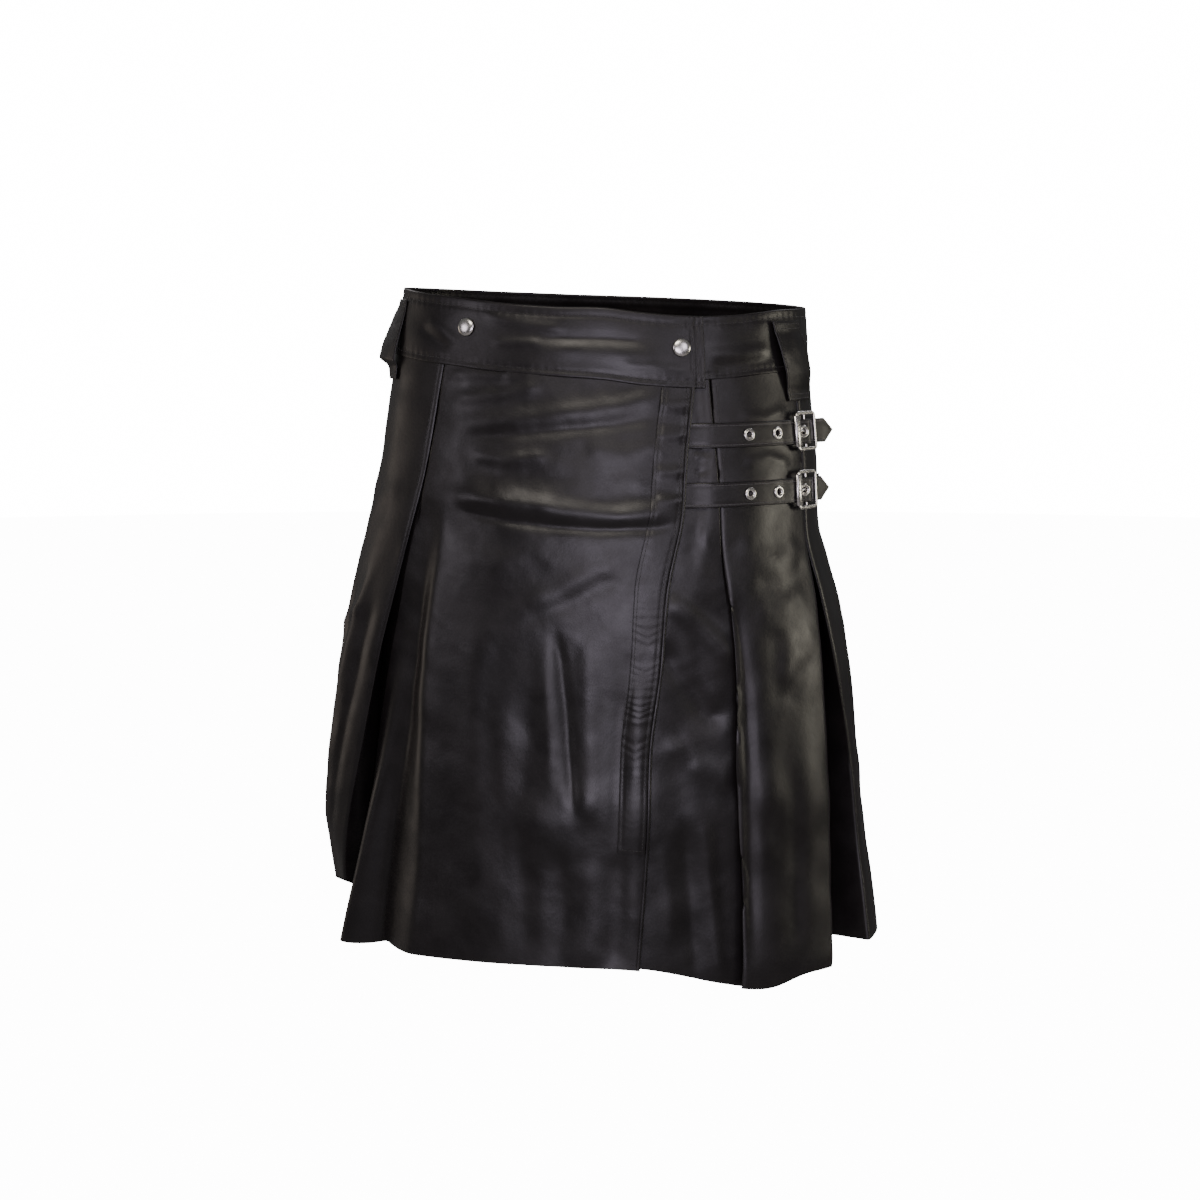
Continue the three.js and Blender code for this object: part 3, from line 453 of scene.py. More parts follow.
# The seven box pleats: each is a face with a return folded back on either side, and half of the underlay
# between it and its neighbour, where the two are seamed. Nappa, pressed, and stitched down to the hips.
right_1_edge = by_level([-48, -52, -58, -65, -73, -90])
right_1_sink = by_level([0, 0, -6, -12, -16, -18])
side_opening = by_level([0, 0, 18, 42, 52, 60])
back_opening = by_level([0, 0, 5, 9, 11, 13])
# Depths of the inner folds and of the seams between them: in the gaps at the sides, and in those at the back.
side_depth = (by_level([4.8, 4.8, 22, 38, 46, 52])(ROW), by_level([4.8, 4.8, 20, 34, 40, 44])(ROW))
back_depth = (by_level([4.8, 4.8, 13, 22, 27, 31])(ROW), by_level([4.8, 4.8, 9, 13, 15, 17])(ROW))
PLEAT_RETURN = 36
EDGE_CLEAR = LEATHER / math.sqrt(2) + SEAM_LAP / 2
PLEAT_STEPS = [4, 4, 2, 2, 8, 2, 2] + [8, 9, 9, 9, 9, 8] + [2, 2, 8, 2, 2, 4, 4]
PLEAT_MIDDLE = [50]  # the column in the middle of the face


def back_faces():
    """Edges of the six faces behind the first left pleat in every row: equal lengths of arc with the gaps
    between them, found by going round the plan in small steps."""
    share = np.linspace(0, 1, 241)
    angle = mix(left_1_end(ROW), right_1_edge(ROW) + 360, share)
    step = np.diff(angle) * per_degree((angle[:, 1:] + angle[:, :-1]) / 2, ROW)
    arc = np.concatenate([np.zeros((len(ROW), 1)), np.cumsum(step, 1)], 1)
    width = (arc[:, -1:] - side_opening(ROW) - 5 * back_opening(ROW)) / 6
    starts = side_opening(ROW) + np.arange(6) * (width + back_opening(ROW))
    marks = np.stack([starts, starts + width], 2).reshape(len(ROW), 12)
    return np.stack([np.interp(m, a, t) for m, a, t in zip(marks, arc, angle)]).reshape(-1, 6, 2)


def pleat_edge(edge, sink, seam, fold, middle, side):
    """Angle and off of one edge of a pleat: from the seam in the underlay, round the inner fold, along the
    return and round the outer fold on to the face, which is sunk at places. side is +1 at the edge with the
    smaller angle and -1 at the other."""
    scale = per_degree(edge, ROW) * side
    drop = fold + sink
    under = np.sqrt(np.maximum(PLEAT_RETURN**2 - drop**2, 100))
    slant = np.maximum(np.radians(45), np.arctan2(drop, under))
    h = FOLD / math.sqrt(2)
    away = (seam - edge) * scale - SEAM_LAP
    off = -fold + FOLD / 2
    points = [
        (away, -middle),
        (mix(away, under, 0.5), mix(-middle, -fold, 0.6)),
        (under - FOLD / 2, off - FOLD / 2),
        (under, off),
        (under - h * np.cos(slant), off + h * np.sin(slant)),
        (EDGE_CLEAR + h * np.cos(slant), sink - FOLD / 2 - h * np.sin(slant)),
        (EDGE_CLEAR + 0 * sink, sink - FOLD / 2),
        (EDGE_CLEAR + FOLD / 2 + 0 * sink, sink),
    ]
    along = np.concatenate([edge + a / scale for a, _ in points], 1)
    return along, np.concatenate([o + 0 * sink for _, o in points], 1)


def pleat(name, first, second, creases, seed, lift=0):
    """A whole pleat between its two edges, each as (edge, sink, seam, fold, middle). Creases are given in
    millimetres across the face from its middle, and in height."""
    one, one_off = pleat_edge(*first, 1)
    two, two_off = pleat_edge(*second, -1)
    share = np.arange(1, 6) / 6
    inside = mix(one[:, -1:], two[:, -1:], share)
    sunk = one_off[:, -1:] * (1 - ease(share * 2.5)) + two_off[:, -1:] * (1 - ease((1 - share) * 2.5))
    angle = np.concatenate([one, inside, two[:, ::-1]], 1)
    off = np.concatenate([one_off, sunk, two_off[:, ::-1]], 1)
    grid = panel_grid(angle, off, PLEAT_STEPS, lift)
    along = lengths_along(grid)
    across = along - along[:, PLEAT_MIDDLE]
    relief = crease_relief(across, grid[..., 2], creases) + slack(across, grid[..., 2], 52, 0.4, seed)
    relief *= ease((60 - np.abs(across)) / 14 + 0.25)
    piece = dress(leather_piece(name, grid, relief), [name])


faces = back_faces()
zero = 0 * ROW
left_1_seam = pleat_start + LEFT_1_SEAM_IN / per_degree(pleat_start, ROW)
gap_middles = [mix(left_1_end(ROW), faces[:, 0, :1], 0.5)]
gap_middles += [mix(faces[:, i, 1:], faces[:, i + 1, :1], 0.5) for i in range(5)]
gap_middles.append(apron_fold_angle[0](ROW) + 360)
gap_depths = [side_depth] + [back_depth] * 5 + [side_depth]
left_1_creases = [
    (-3.6, 8, [(-50, -222), (-48, -270), (-44, -330), (-43, -420), (-44, -510), (-44, -590)]),
    (1.4, 13, [(-42, -192), (-24, -208), (0, -216), (20, -210), (34, -192)]),
    (-1.0, 11, [(-30, -226), (-14, -235), (6, -240), (28, -228), (38, -208)]),
    (0.8, 12, [(-34, -260), (-10, -262), (14, -252), (34, -242)]),
    (0.9, 13, [(-4, -326), (6, -304), (20, -294), (40, -274)]),
    (-0.8, 11, [(-2, -344), (14, -320), (38, -302)]),
    (-1.0, 10, [(-8, -270), (-11, -310), (-8, -348)]),
    (1.3, 13, [(-32, -310), (-26, -390), (-24, -450)]),
    (1.1, 12, [(-28, -450), (-24, -522), (-20, -594)]),
    (2.4, 34, [(-60, -432), (0, -430), (60, -424)]),
    (1.0, 14, [(20, -350), (22, -430), (20, -520), (24, -590)]),
    (-1.4, 10, [(2, -390), (4, -470), (2, -570)]),
    (0.9, 5, [(-30, -84), (0, -88), (30, -80)]),
    (0.9, 5, [(-30, -128), (0, -122), (30, -130)]),
]
pleat(
    "pleat_left_1", (pleat_start, zero, left_1_seam, front_depth, front_depth),
    (left_1_end(ROW), zero, gap_middles[0], *side_depth), left_1_creases, 11,
)
back_pleats = {
    "pleat_left_2": ((0.259, 0.530, 0.132), [
        (2.6, 12, [(-20, -180), (-14, -260), (-18, -360), (-10, -470), (-14, -580)]),
        (-2.2, 10, [(12, -200), (16, -300), (10, -420), (16, -560)]),
        (1.0, 12, [(-44, -196), (-10, -212), (24, -206), (46, -188)]),
        (2.0, 9, [(30, -330), (26, -430), (32, -560)]),
        (-0.7, 9, [(-44, -256), (-8, -274), (36, -262)]),
    ]),
    "pleat_left_3": ((0.262, 0.534, 0.133), [
        (2.2, 12, [(6, -190), (10, -290), (2, -400), (8, -560)]),
        (-1.8, 9, [(-22, -230), (-18, -340), (-24, -470), (-18, -570)]),
        (0.9, 11, [(-48, -164), (-6, -180), (44, -166)]),
        (0.8, 11, [(-44, -322), (-4, -308), (42, -324)]),
        (1.6, 8, [(34, -260), (30, -380), (34, -520)]),
    ]),
    "pleat_back": ((0.262, 0.541, 0.134), [
        (2.0, 13, [(-14, -200), (-10, -320), (-16, -440), (-12, -565)]),
        (-1.7, 10, [(16, -180), (12, -300), (18, -430), (14, -560)]),
        (1.1, 12, [(-46, -146), (-8, -162), (30, -156), (48, -144)]),
        (0.7, 10, [(-44, -186), (0, -198), (46, -184)]),
        (1.4, 8, [(34, -330), (32, -450), (36, -560)]),
    ]),
    "pleat_right_3": ((0.263, 0.545, 0.135), [
        (2.2, 11, [(16, -190), (10, -300), (16, -420), (10, -560)]),
        (-1.8, 9, [(-10, -220), (-14, -330), (-8, -450), (-14, -565)]),
        (0.9, 12, [(-46, -172), (4, -188), (48, -170)]),
        (0.8, 10, [(-44, -280), (-6, -296), (36, -286)]),
        (1.5, 9, [(-36, -340), (-32, -460), (-36, -560)]),
    ]),
    "pleat_right_2": ((0.259, 0.551, 0.134), [
        (2.5, 12, [(-12, -180), (-18, -290), (-10, -400), (-16, -570)]),
        (-2.0, 9, [(18, -210), (14, -330), (20, -460), (14, -570)]),
        (1.0, 12, [(-46, -156), (-10, -172), (44, -158)]),
        (1.8, 8, [(-34, -300), (-12, -340), (20, -368)]),
        (1.5, 8, [(36, -290), (32, -420), (36, -550)]),
    ]),
    "pleat_right_1": ((0.256, 0.549, 0.122), [
        (3.2, 10, [(26, -206), (16, -270), (6, -340), (0, -430), (6, -520)]),
        (-2.4, 8, [(40, -240), (34, -320), (26, -410), (30, -500)]),
        (2.4, 9, [(-26, -180), (-20, -300), (-26, -420), (-20, -545)]),
        (-2.0, 9, [(-8, -230), (-12, -340), (-6, -470)]),
        (1.0, 12, [(-46, -148), (-6, -166), (42, -152)]),
        (1.6, 7, [(-30, -288), (-4, -270), (24, -262)]),
    ]),
}
# The last pleat sinks towards the apron, and its front corner is drawn up at the hem.
lines = np.arange(21)
corner_lift = 44 * ease((lines - 6) / 7) * np.where(lines > 14, ease((22 - lines) / 7), 1)
for i, (name, (cut, creases)) in enumerate(back_pleats.items()):
    last = name == "pleat_right_1"
    pleat(
        name, (faces[:, i, :1], zero, gap_middles[i], *gap_depths[i]),
        (faces[:, i, 1:], right_1_sink(ROW) if last else zero, gap_middles[i + 1], *gap_depths[i + 1]),
        creases, 21 + i, corner_lift if last else 0,
    )

# The outer apron: the front panel that laps over the under apron, in nappa cut in one piece. Its right side
# is folded into a deep recess under the first pleat, and its left edge is turned and topstitched.


def through_folds(tables):
    """Ten lines through the recess's four fold lines in every row, on a smooth curve from one to the next."""
    values = np.concatenate([table(ROW) for table in tables], 1)
    return np.stack([curve([0, 1, 2, 3], row)(np.arange(10) / 3) for row in values])


recess_angle = through_folds(apron_fold_angle)
recess_angle[:, 0] -= SEAM_LAP / per_degree(recess_angle[:, 0], ROW[:, 0])
edge_lines = lap_edge(ROW) - np.array([16, 9, 5, 2.6, 1.2, 0.5, 0]) / per_degree(lap_edge(ROW), ROW)
front_angle = mix(recess_angle[:, -1:], edge_lines[:, :1], np.arange(1, 13) / 13)
front_angle = np.concatenate([front_angle, edge_lines], 1)
apron_steps = [4] * 9 + [6] * 13 + [3] * 6
apron_angle = np.concatenate([recess_angle, front_angle], 1)
apron_off = np.concatenate([through_folds(apron_fold_off), apron_level(front_angle)], 1)
apron_grid = panel_grid(apron_angle, apron_off, apron_steps)
# Creases as (height, width, line of (x, z)), those of the photograph first, then the soft vertical folds.
apron_creases = [
    (1.6, 9, [(-140, -94), (-118, -91), (-91, -88), (-42, -82), (4, -76), (32, -70), (78, -67)]),
    (-1.3, 6, [(-134, -104), (-91, -100), (-42, -95), (10, -90), (50, -86)]),
    (1.3, 6, [(-136, -70), (-112, -68), (-86, -64), (-50, -57)]),
    (1.0, 5, [(-138, -50), (-110, -48), (-70, -49)]),
    (2.8, 9, [(-152, -152), (-130, -155), (-80, -160), (-34, -166), (11, -170), (44, -167), (80, -157)]),
    (1.4, 15, [(-134, -150), (-100, -154), (-70, -158), (-34, -163)]),
    (-0.9, 10, [(-132, -132), (-92, -134), (-50, -138), (-14, -140)]),
    (-1.9, 5, [(-136, -166), (-80, -175), (-48, -178), (-6, -181), (44, -180), (74, -176)]),
    (1.1, 9, [(-20, -112), (20, -116), (62, -110)]),
    (1.3, 6, [(-120, -118), (-84, -122), (-44, -117)]),
    (0.8, 9, [(-132, -206), (-100, -212), (-62, -207)]),
    (-1.1, 9, [(-76, -266), (-40, -250), (-18, -238), (-2, -229), (22, -225)]),
    (0.9, 10, [(-70, -248), (-36, -234), (-12, -222), (14, -210)]),
    (4.0, 36, [(-90, -434), (-30, -438), (20, -436), (70, -430)]),
    (-2.4, 5, [(-44, -262), (-38, -300), (-33, -345), (-29, -400), (-26, -440)]),
    (2.2, 10, [(-16, -268), (-14, -330), (-12, -400), (-14, -450)]),
    (0.7, 6, [(-52, -300), (-48, -350), (-44, -400)]),
    (-1.5, 8, [(17, -310), (14, -360), (12, -420), (8, -470)]),
    (0.8, 8, [(32, -306), (30, -350), (28, -416)]),
    (1.4, 9, [(-52, -270), (-50, -350), (-44, -430)]),
    (1.8, 14, [(-112, -244), (-116, -330), (-112, -430), (-118, -574)]),
    (1.1, 11, [(-92, -306), (-90, -360), (-88, -430)]),
    (-1.7, 13, [(-66, -306), (-68, -380), (-72, -470), (-70, -575)]),
    (-1.7, 11, [(-42, -458), (-38, -520), (-42, -572)]),
    (1.7, 12, [(-14, -470), (-10, -530), (-14, -572)]),
    (-1.4, 10, [(10, -462), (12, -520), (8, -575)]),
    (1.5, 9, [(30, -300), (28, -420), (26, -520), (22, -578)]),
]
x, z = apron_grid[..., 0], apron_grid[..., 2]
apron_relief = crease_relief(x, z, apron_creases) + slack(x, z, 64, 0.45, 7) + slack(x, z, 21, 0.08, 8)
apron_relief *= ease((x + 200) / 30) * 0.9 + 0.1
# Beside the last pleat's edge, as far down as that is stitched, the apron comes up to it.
off_here = rolled(apron_off[..., None], apron_steps)[..., 0]
angle_here = rolled(apron_angle[..., None], apron_steps)[..., 0]
beside = (angle_here - right_1_edge(ROW)) * per_degree(-48, ROW)
apron_relief += np.maximum(-0.7 - off_here, 0) * ease((beside - 0.9) / 1.2) * ease((ROW + 200) / 34)
# Its lapped edge is turned over, which makes a round edge of twice the thickness.
to_edge = (lap_edge(ROW) - angle_here) * per_degree(10, ROW)
apron_relief += 0.9 * np.sqrt(np.clip(to_edge / 0.9, 0, 1)) * ease((2.9 - to_edge) / 1.1)
apron_relief -= 0.3 * ease((0.5 - to_edge) / 0.5)
outer_apron = dress(leather_piece("outer_apron", apron_grid, apron_relief), ["outer_apron"])

# The placket strip: a band of the same nappa laid along the apron's lapped edge and stitched down both sides.
# Its stitches pull it into small puckers.
placket_row = np.linspace(-55.5, -470, 260)[:, None]
placket_scale = per_degree(lap_edge(placket_row), placket_row)
placket_right = lap_edge(placket_row) - 3.2 / placket_scale
placket_width = by_level([26, 27, 25, 24, 24, 24])(placket_row)
strip_share = np.linspace(0, 1, 19)
placket_angle = mix(placket_right - placket_width / placket_scale, placket_right, strip_share)
height = row_height(placket_row, placket_angle)
inward = np.minimum(strip_share, 1 - strip_share) * placket_width
placket_grid = surface(placket_angle, height, LEATHER / 2 + SEAM_LAP + 0.9)
x, z = placket_grid[..., 0], placket_grid[..., 2]
placket_grid += crease_relief(x, z, apron_creases)[..., None] * normals_of(placket_grid)
x, z = placket_grid[..., 0], placket_grid[..., 2]
ladder = np.sin(2 * np.pi * (height + 0.25 * inward) / 7.4 + 3.4 * np.sin(height / 13)
                + 1.7 * np.sin(height / 5.3 + 0.2 * inward))
pull = 0.25 + 0.75 * ease((-height - 245) / 30) * ease((height + 400) / 60)
placket_relief = (0.19 + 0.09 * np.sin(height / 21)) * ladder * pull * mix(0.35, 1, bell(inward - 6, 6))
placket_relief -= 0.45 * bell(inward - 3.2, 1.1)
placket_relief += crease_relief(x, z, [
    (1.3, 6, [(44, -74), (62, -75), (80, -73)]), (1.3, 6, [(44, -99), (62, -100), (80, -98)]),
    (1.3, 5, [(42, -131), (60, -132), (80, -130)]), (1.3, 5, [(42, -156), (60, -157), (78, -155)]),
])
placket_wall = 1.3 * np.sqrt(np.clip(inward / 0.8, 0.03, 1))[..., None]
normal = normals_of(placket_grid)
placket = walled("placket_strip", placket_grid + normal * placket_relief[..., None], normal, placket_wall / 2)
dress(placket, ["placket_strip"])

# The waistband: one long strip of nappa folded double, topstitched along both edges. It runs from its outer
# end over the front, round the wearer's right side and the back, to the inner end under the front.
BAND_WALL = 2.6
BAND_END = 28.2  # the angle of its outer end
END_STITCHES = (3.0, 7.5, 12.0)  # the rows down that end, in millimetres from it
turn = np.array([*np.arange(-396, 22, 0.9), *np.arange(22.4, 27.6, 0.3), 27.7, 27.9, 28.05, 28.15, BAND_END])
down = np.array([0, 0.15, 0.4, 0.8, 1.3, 2.2])
down = np.concatenate([down, np.linspace(3.2, BAND_HEIGHT - 3.2, 27), BAND_HEIGHT - down[::-1]])
band_off = -3.4 * ease((-285 - turn) / 38) + 0 * down[:, None]
band_top = top_edge(turned(turn))
# The lapped front stands a little higher, and the strip's under end is sewn a little higher than the outer.
rise = curve([-40, -15, 0, 12, 28.2, 45, 70], [0, 0.5, 3, 3.6, 3.2, 1, 0])(turned(turn))
rise = mix(rise, band_lift(turn + 360) * (turn < -280), down[:, None] / BAND_HEIGHT)
band_grid = surface(turn, band_top + rise - down[:, None], band_off)
to_end = (BAND_END - turn) * per_degree(28, -30)
edge_round = mix(0.015, 1, rounded(np.minimum(down, BAND_HEIGHT - down), BAND_WALL / 2))
end_round = mix(0.015, 1, rounded(to_end, BAND_WALL / 2))
along, depth_down = np.broadcast_arrays(lengths_along(band_grid[10]), down[:, None])
# Creases with their points as (angle, millimetres down). The angles run from 28 at the outer end to -396.
band_creases = [
    (1.2, 8.5, [(-24, 38), (-8, 37), (4, 37), (19, 36)]),
    (-1.1, 4.5, [(-18, 27), (-4, 26), (12, 23)]),
    (1.0, 4, [(-32, 35), (-24, 33), (-16, 32)]),
    (1.0, 5, [(-58, 22), (-50, 30), (-42, 41)]),
    (-0.9, 4, [(-62, 30), (-54, 38), (-46, 47)]),
    (0.9, 5, [(-36, 12), (-22, 17), (-10, 19)]),
    (0.8, 4, [(4, 46), (14, 44), (24, 45)]),
    (1.2, 6, [(-76, 18), (-86, 30), (-98, 40)]),
    (-1.0, 5, [(-108, 44), (-122, 32), (-134, 24)]),
    (1.2, 6, [(-146, 18), (-158, 32), (-170, 40)]),
    (1.0, 5, [(-186, 44), (-200, 30), (-214, 22)]),
    (1.2, 5, [(-222, 18), (-236, 28), (-246, 44)]),
    (-0.9, 4, [(-256, 20), (-266, 34), (-278, 40)]),
    (1.2, 7, [(-332, 35), (-320, 37), (-306, 38)]),
    (-0.8, 6, [(-330, 48), (-318, 49), (-304, 46)]),
    (0.6, 9, [(-330, 15), (-318, 17), (-306, 13)]),
]
band_creases = [(d, w, [(np.interp(t, turn, along[0]), v) for t, v in line]) for d, w, line in band_creases]
band_relief = crease_relief(along, depth_down, band_creases) + slack(along, depth_down, 40, 0.25, 5)
# The stitches pull grooves and small puckers into the band, and its outer end is turned in.
pucker = 0.28 * np.sin(2 * np.pi * along / 7.3 + 2.2 * np.sin(along / 19))
for stitch_line in (7.5, 54.5):
    band_relief += pucker * bell(depth_down - stitch_line, 4.5) - 0.5 * bell(depth_down - stitch_line, 1.5)
for stitch_line in END_STITCHES:
    band_relief -= 0.4 * bell(to_end - stitch_line, 1.3)
band_relief += 0.7 * bell(to_end - 1, 2.2)
normal = normals_of(band_grid)
half_wall = (BAND_WALL / 2 * edge_round[:, None] * end_round)[..., None]
waistband = walled("waistband", band_grid + normal * band_relief[..., None], normal, half_wall)
dress(waistband, ["waistband"])

# The two straps: doubled nappa 22 mm wide with a pointed tip, edge-stitched, each with three eyelets. They
# come out from under the outer apron, where they are sewn down, and go over the buckle's middle bar.
STRAP_WIDTH = 22
STRAP_WALL = 2.0
STRAIGHT_FROM = 60
EYELET_FIRST = -6
EYELET_SPACING = 32
EYELETS = 3
strap_heights = {"upper": -101, "lower": -153}
buckle_at = {-101: 17, -153: 14}  # by the strap's height: from 60 degrees to the middle of its buckle
tip_at = {-101: 41, -153: 35}
hump_along = [-32, -18, -12, 0, 2, 12, 18, 42]
hump_off = [2.3, 4.2, 4.2, 8.0, 8.0, 4.2, 4.2, 5.4]
SLOPE_TILT = math.atan2(3.8, 12)


def strap_angles(z):
    """Distances back from the buckle, and the angles there, in steps of a quarter of a degree."""
    angle = np.arange(STRAIGHT_FROM, 10, -0.25)
    along = -buckle_at[z] - np.concatenate([[0], np.cumsum(0.25 * per_degree(angle[:-1], z))])
    return along[::-1], angle[::-1]


def on_strap(z, along, off, up):
    """Point on a strap: along from the buckle's middle, off outwards, up across. The strap follows the
    garment's plan as far as 60 degrees and runs on straight from there."""
    along, off, up = np.broadcast_arrays(np.asarray(along, float), off, up)
    curved = surface(np.interp(along, *strap_angles(z)), z + up, off)
    start = surface(STRAIGHT_FROM + 0 * along, z + up, 0)
    tangent = surface(STRAIGHT_FROM + 0.5 + 0 * along, z + up, 0) - start
    tangent /= np.linalg.norm(tangent, axis=-1, keepdims=True)
    normal = np.stack([tangent[..., 1], -tangent[..., 0], 0 * along], -1)
    past = along + buckle_at[z]
    straight = start + tangent * past[..., None] + normal * off[..., None]
    return np.where(past[..., None] > 0, straight, curved)


def strap_off(z, along):
    """Height of a strap's middle above the plan: it comes up beside the apron's edge, from 22.8 to 29.5
    degrees."""
    marks, angles = strap_angles(z)
    low, high = np.interp([22.8, 29.5], angles, marks)
    return mix(-2.4, np.interp(along, hump_along, hump_off), ease((along - low) / (high - low)))


def strap_frame(z, along, off, tilt=0.0):
    """Origin and axes of a point on a strap: x along it, y up across it, z outwards, turned about y by the
    tilt."""
    here, ahead = on_strap(z, np.array([along, along + 0.5]), off, 0.0)
    over, under = on_strap(z, along, off, np.array([4.0, -4.0]))
    x = (ahead - here) / np.linalg.norm(ahead - here)
    up = (over - under) / np.linalg.norm(over - under)
    out = np.cross(x, up)
    turn = np.array([[math.cos(tilt), 0, math.sin(tilt)], [0, 1, 0], [-math.sin(tilt), 0, math.cos(tilt)]])
    return here, turn @ np.array([x, np.cross(out, x), out])


def placed(points, place):
    """Points drawn in a strap's axes, moved to a frame on it."""
    return place[0] + points @ place[1]


def ring_faces(rows, columns, start):
    """Quads between the rows of a grid whose columns close on themselves."""
    at = start + np.arange(rows * columns).reshape(rows, columns)
    turn = np.roll(at, -1, axis=1)
    return np.stack([at[:-1], turn[:-1], turn[1:], at[1:]], -1).reshape(-1, 4)


def metal_body(name, grids):
    """Body joined from grids of points in millimetres, each with closed columns: doubles at the poles and
    where a grid meets itself are merged, and the faces turned outwards."""
    points, faces, start = [], [], 0
    for grid in grids:
        points.append(grid.reshape(-1, 3))
        faces.append(ring_faces(*grid.shape[:2], start))
        start += len(points[-1])
    body = smooth_piece(name, np.concatenate(points), np.concatenate(faces))
    work = bmesh.new()
    work.from_mesh(body.data)
    bmesh.ops.remove_doubles(work, verts=work.verts, dist=1e-6)
    bmesh.ops.recalc_face_normals(work, faces=work.faces)
    work.to_mesh(body.data)
    work.free()
    body.data.set_sharp_from_angle(angle=math.radians(42))
    return body


def turned_grid(profile, sides=40):
    """Round body about its own z axis: every point (radius, height) of the profile goes round in a circle."""
    radius, height = np.array(profile, float).T
    t = np.linspace(0, 2 * np.pi, sides, endpoint=False)
    return np.stack([radius[:, None] * np.cos(t), radius[:, None] * np.sin(t), height[:, None] + 0 * t], -1)


def tube_grid(path, radius, sides=14):
    """Round wire along a path in the x-z plane: circles square to the path, closed to points at both ends."""
    x, z = np.array(path, float).T
    slope = np.stack([np.gradient(x), np.gradient(z)], 1)
    slope /= np.linalg.norm(slope, axis=1, keepdims=True)
    t = np.linspace(0, 2 * np.pi, sides, endpoint=False)
    r = np.broadcast_to(radius, x.shape)[:, None]
    across = np.stack([x[:, None] - r * np.sin(t) * slope[:, 1:], r * np.cos(t),
                       z[:, None] + r * np.sin(t) * slope[:, :1]], -1)
    tips = np.stack([np.stack([x[[0, -1]], 0 * x[[0, -1]], z[[0, -1]]], -1)] * sides, 1)
    return np.concatenate([tips[:1], across, tips[1:]])


def punch(piece, cutter):
    """Cuts the cutter out of a piece and removes it."""
    cut = piece.modifiers.new("punch", "BOOLEAN")
    cut.operation = "DIFFERENCE"
    cut.solver = "EXACT"
    cut.object = cutter
    shape = bpy.data.meshes.new_from_object(piece.evaluated_get(bpy.context.evaluated_depsgraph_get()))
    piece.modifiers.clear()
    piece.data = shape
    bpy.data.objects.remove(cutter)


def eyelet_frame(z, number):
    """Frame of a strap's eyelet, counted back from the buckle. The first lies on the slope over its bar."""
    spot = EYELET_FIRST - number * EYELET_SPACING
    return strap_frame(z, spot, float(strap_off(z, spot)), 0 if number else SLOPE_TILT)


strap_share = np.array([1, 0.985, 0.955, 0.9, 0.84, 0.76, 0.6, 0.4, 0.2, 0])
strap_share = np.concatenate([strap_share, -strap_share[-2::-1]])[:, None]
for place, z in strap_heights.items():
    root = np.interp(15, *strap_angles(z)[::-1])
    tip = tip_at[z]
    along = np.unique(np.concatenate([np.arange(root, tip, 1.4), [tip - 12, tip]]))
    half = STRAP_WIDTH / 2 * mix(1, 0.04, np.clip((along - tip + 12) / 12, 0, 1))
    inward = half * (1 - np.abs(strap_share))
    edge = mix(0.03, 1, rounded(inward, 0.9))
    seed = 31 if place == "upper" else 47
    wave = slack(along, strap_share * half, 26, 0.10, seed) - 0.22 * bell(inward - 2.6, 0.8)
    middle = strap_off(z, along)
    skin = on_strap(z, along, middle + STRAP_WALL / 2 * edge + wave, strap_share * half)
    back = on_strap(z, along, middle - STRAP_WALL / 2 * edge, strap_share * half)
    strap = shell("strap_" + place + "_leather", skin, back)
    skins["strap_" + place] = (skin, normals_of(skin))
    drill = turned_grid([(0, -6), (3.7, -6), (3.7, 6), (0, 6)], 28)
    punch(strap, metal_body("drill", [placed(drill, eyelet_frame(z, k)) for k in range(EYELETS)]))
    strap.data.set_sharp_from_angle(angle=SHARP)
    dress(strap, ["strap_" + place])

# The eyelets: two-part rings, nickel plated, three in each strap. They are clenched through the leather, with
# a rolled flange that stands a little proud on the outside.
nickel, shader, nodes, link = new_finish("polished_nickel", {
    "Base Color": (0.72, 0.70, 0.67, 1),
    "Metallic": 1.0,
})
haze = nodes.new("ShaderNodeTexNoise")
set_inputs(haze, {"Scale": 420, "Detail": 3})
polish = nodes.new("ShaderNodeMapRange")
set_inputs(polish, {"To Min": 0.17, "To Max": 0.34})
link(nodes.new("ShaderNodeTexCoord").outputs["Object"], haze.inputs["Vector"])
link(haze.outputs["Fac"], polish.inputs["Value"])
link(polish.outputs["Result"], shader.inputs["Roughness"])
eyelet_profile = [(2.6, -1.3), (3.4, -1.3), (3.4, 1.3), (5.6, 1.3), (5.75, 1.5), (5.6, 1.85), (5.0, 2.25),
                  (4.3, 2.35), (3.6, 2.25), (3.0, 1.9), (2.7, 1.5), (2.6, 1.0), (2.6, -1.3)]
for place, z in strap_heights.items():
    for k in range(EYELETS):
        name = f"eyelet_{place}_{EYELETS - k}"
        eyelet = metal_body(name + "_nickel", [placed(turned_grid(eyelet_profile), eyelet_frame(z, k))])
        dress(eyelet, [name], nickel)

# The buckles: cast frames with rounded bars, nickel plated, with a middle bar that the chape and the prong
# turn on, and a roller. The prong is bent wire with its eye round the bar, and comes up through the strap's
# eyelet on to the frame.
FRAME_LENGTH = 26.5
FRAME_HEIGHT = 32
FRAME_BACK = 1.25  # from the middle bar back to the middle of the frame
SIDE_BAR_OFF = 6.8
CENTRE_BAR_OFF = 4.0


def frame_path(length, height, radius, steps=9):
    """Rounded rectangle in the x-y plane and its outward directions, corner by corner."""
    turn = np.concatenate([np.linspace(0, 90, steps) + 90 * k for k in range(4)])
    way = np.stack([np.cos(np.radians(turn)), np.sin(np.radians(turn))], 1)
    corner = np.repeat([[1, 1], [-1, 1], [-1, -1], [1, -1]], steps, axis=0)
    return corner * [length / 2 - radius, height / 2 - radius] + way * radius, way


def squared(wave):
    """Wave with fuller crests, which makes a rounded bar of an oval one: sign(w) |w|^0.7."""
    return np.sign(wave) * np.abs(wave) ** 0.7


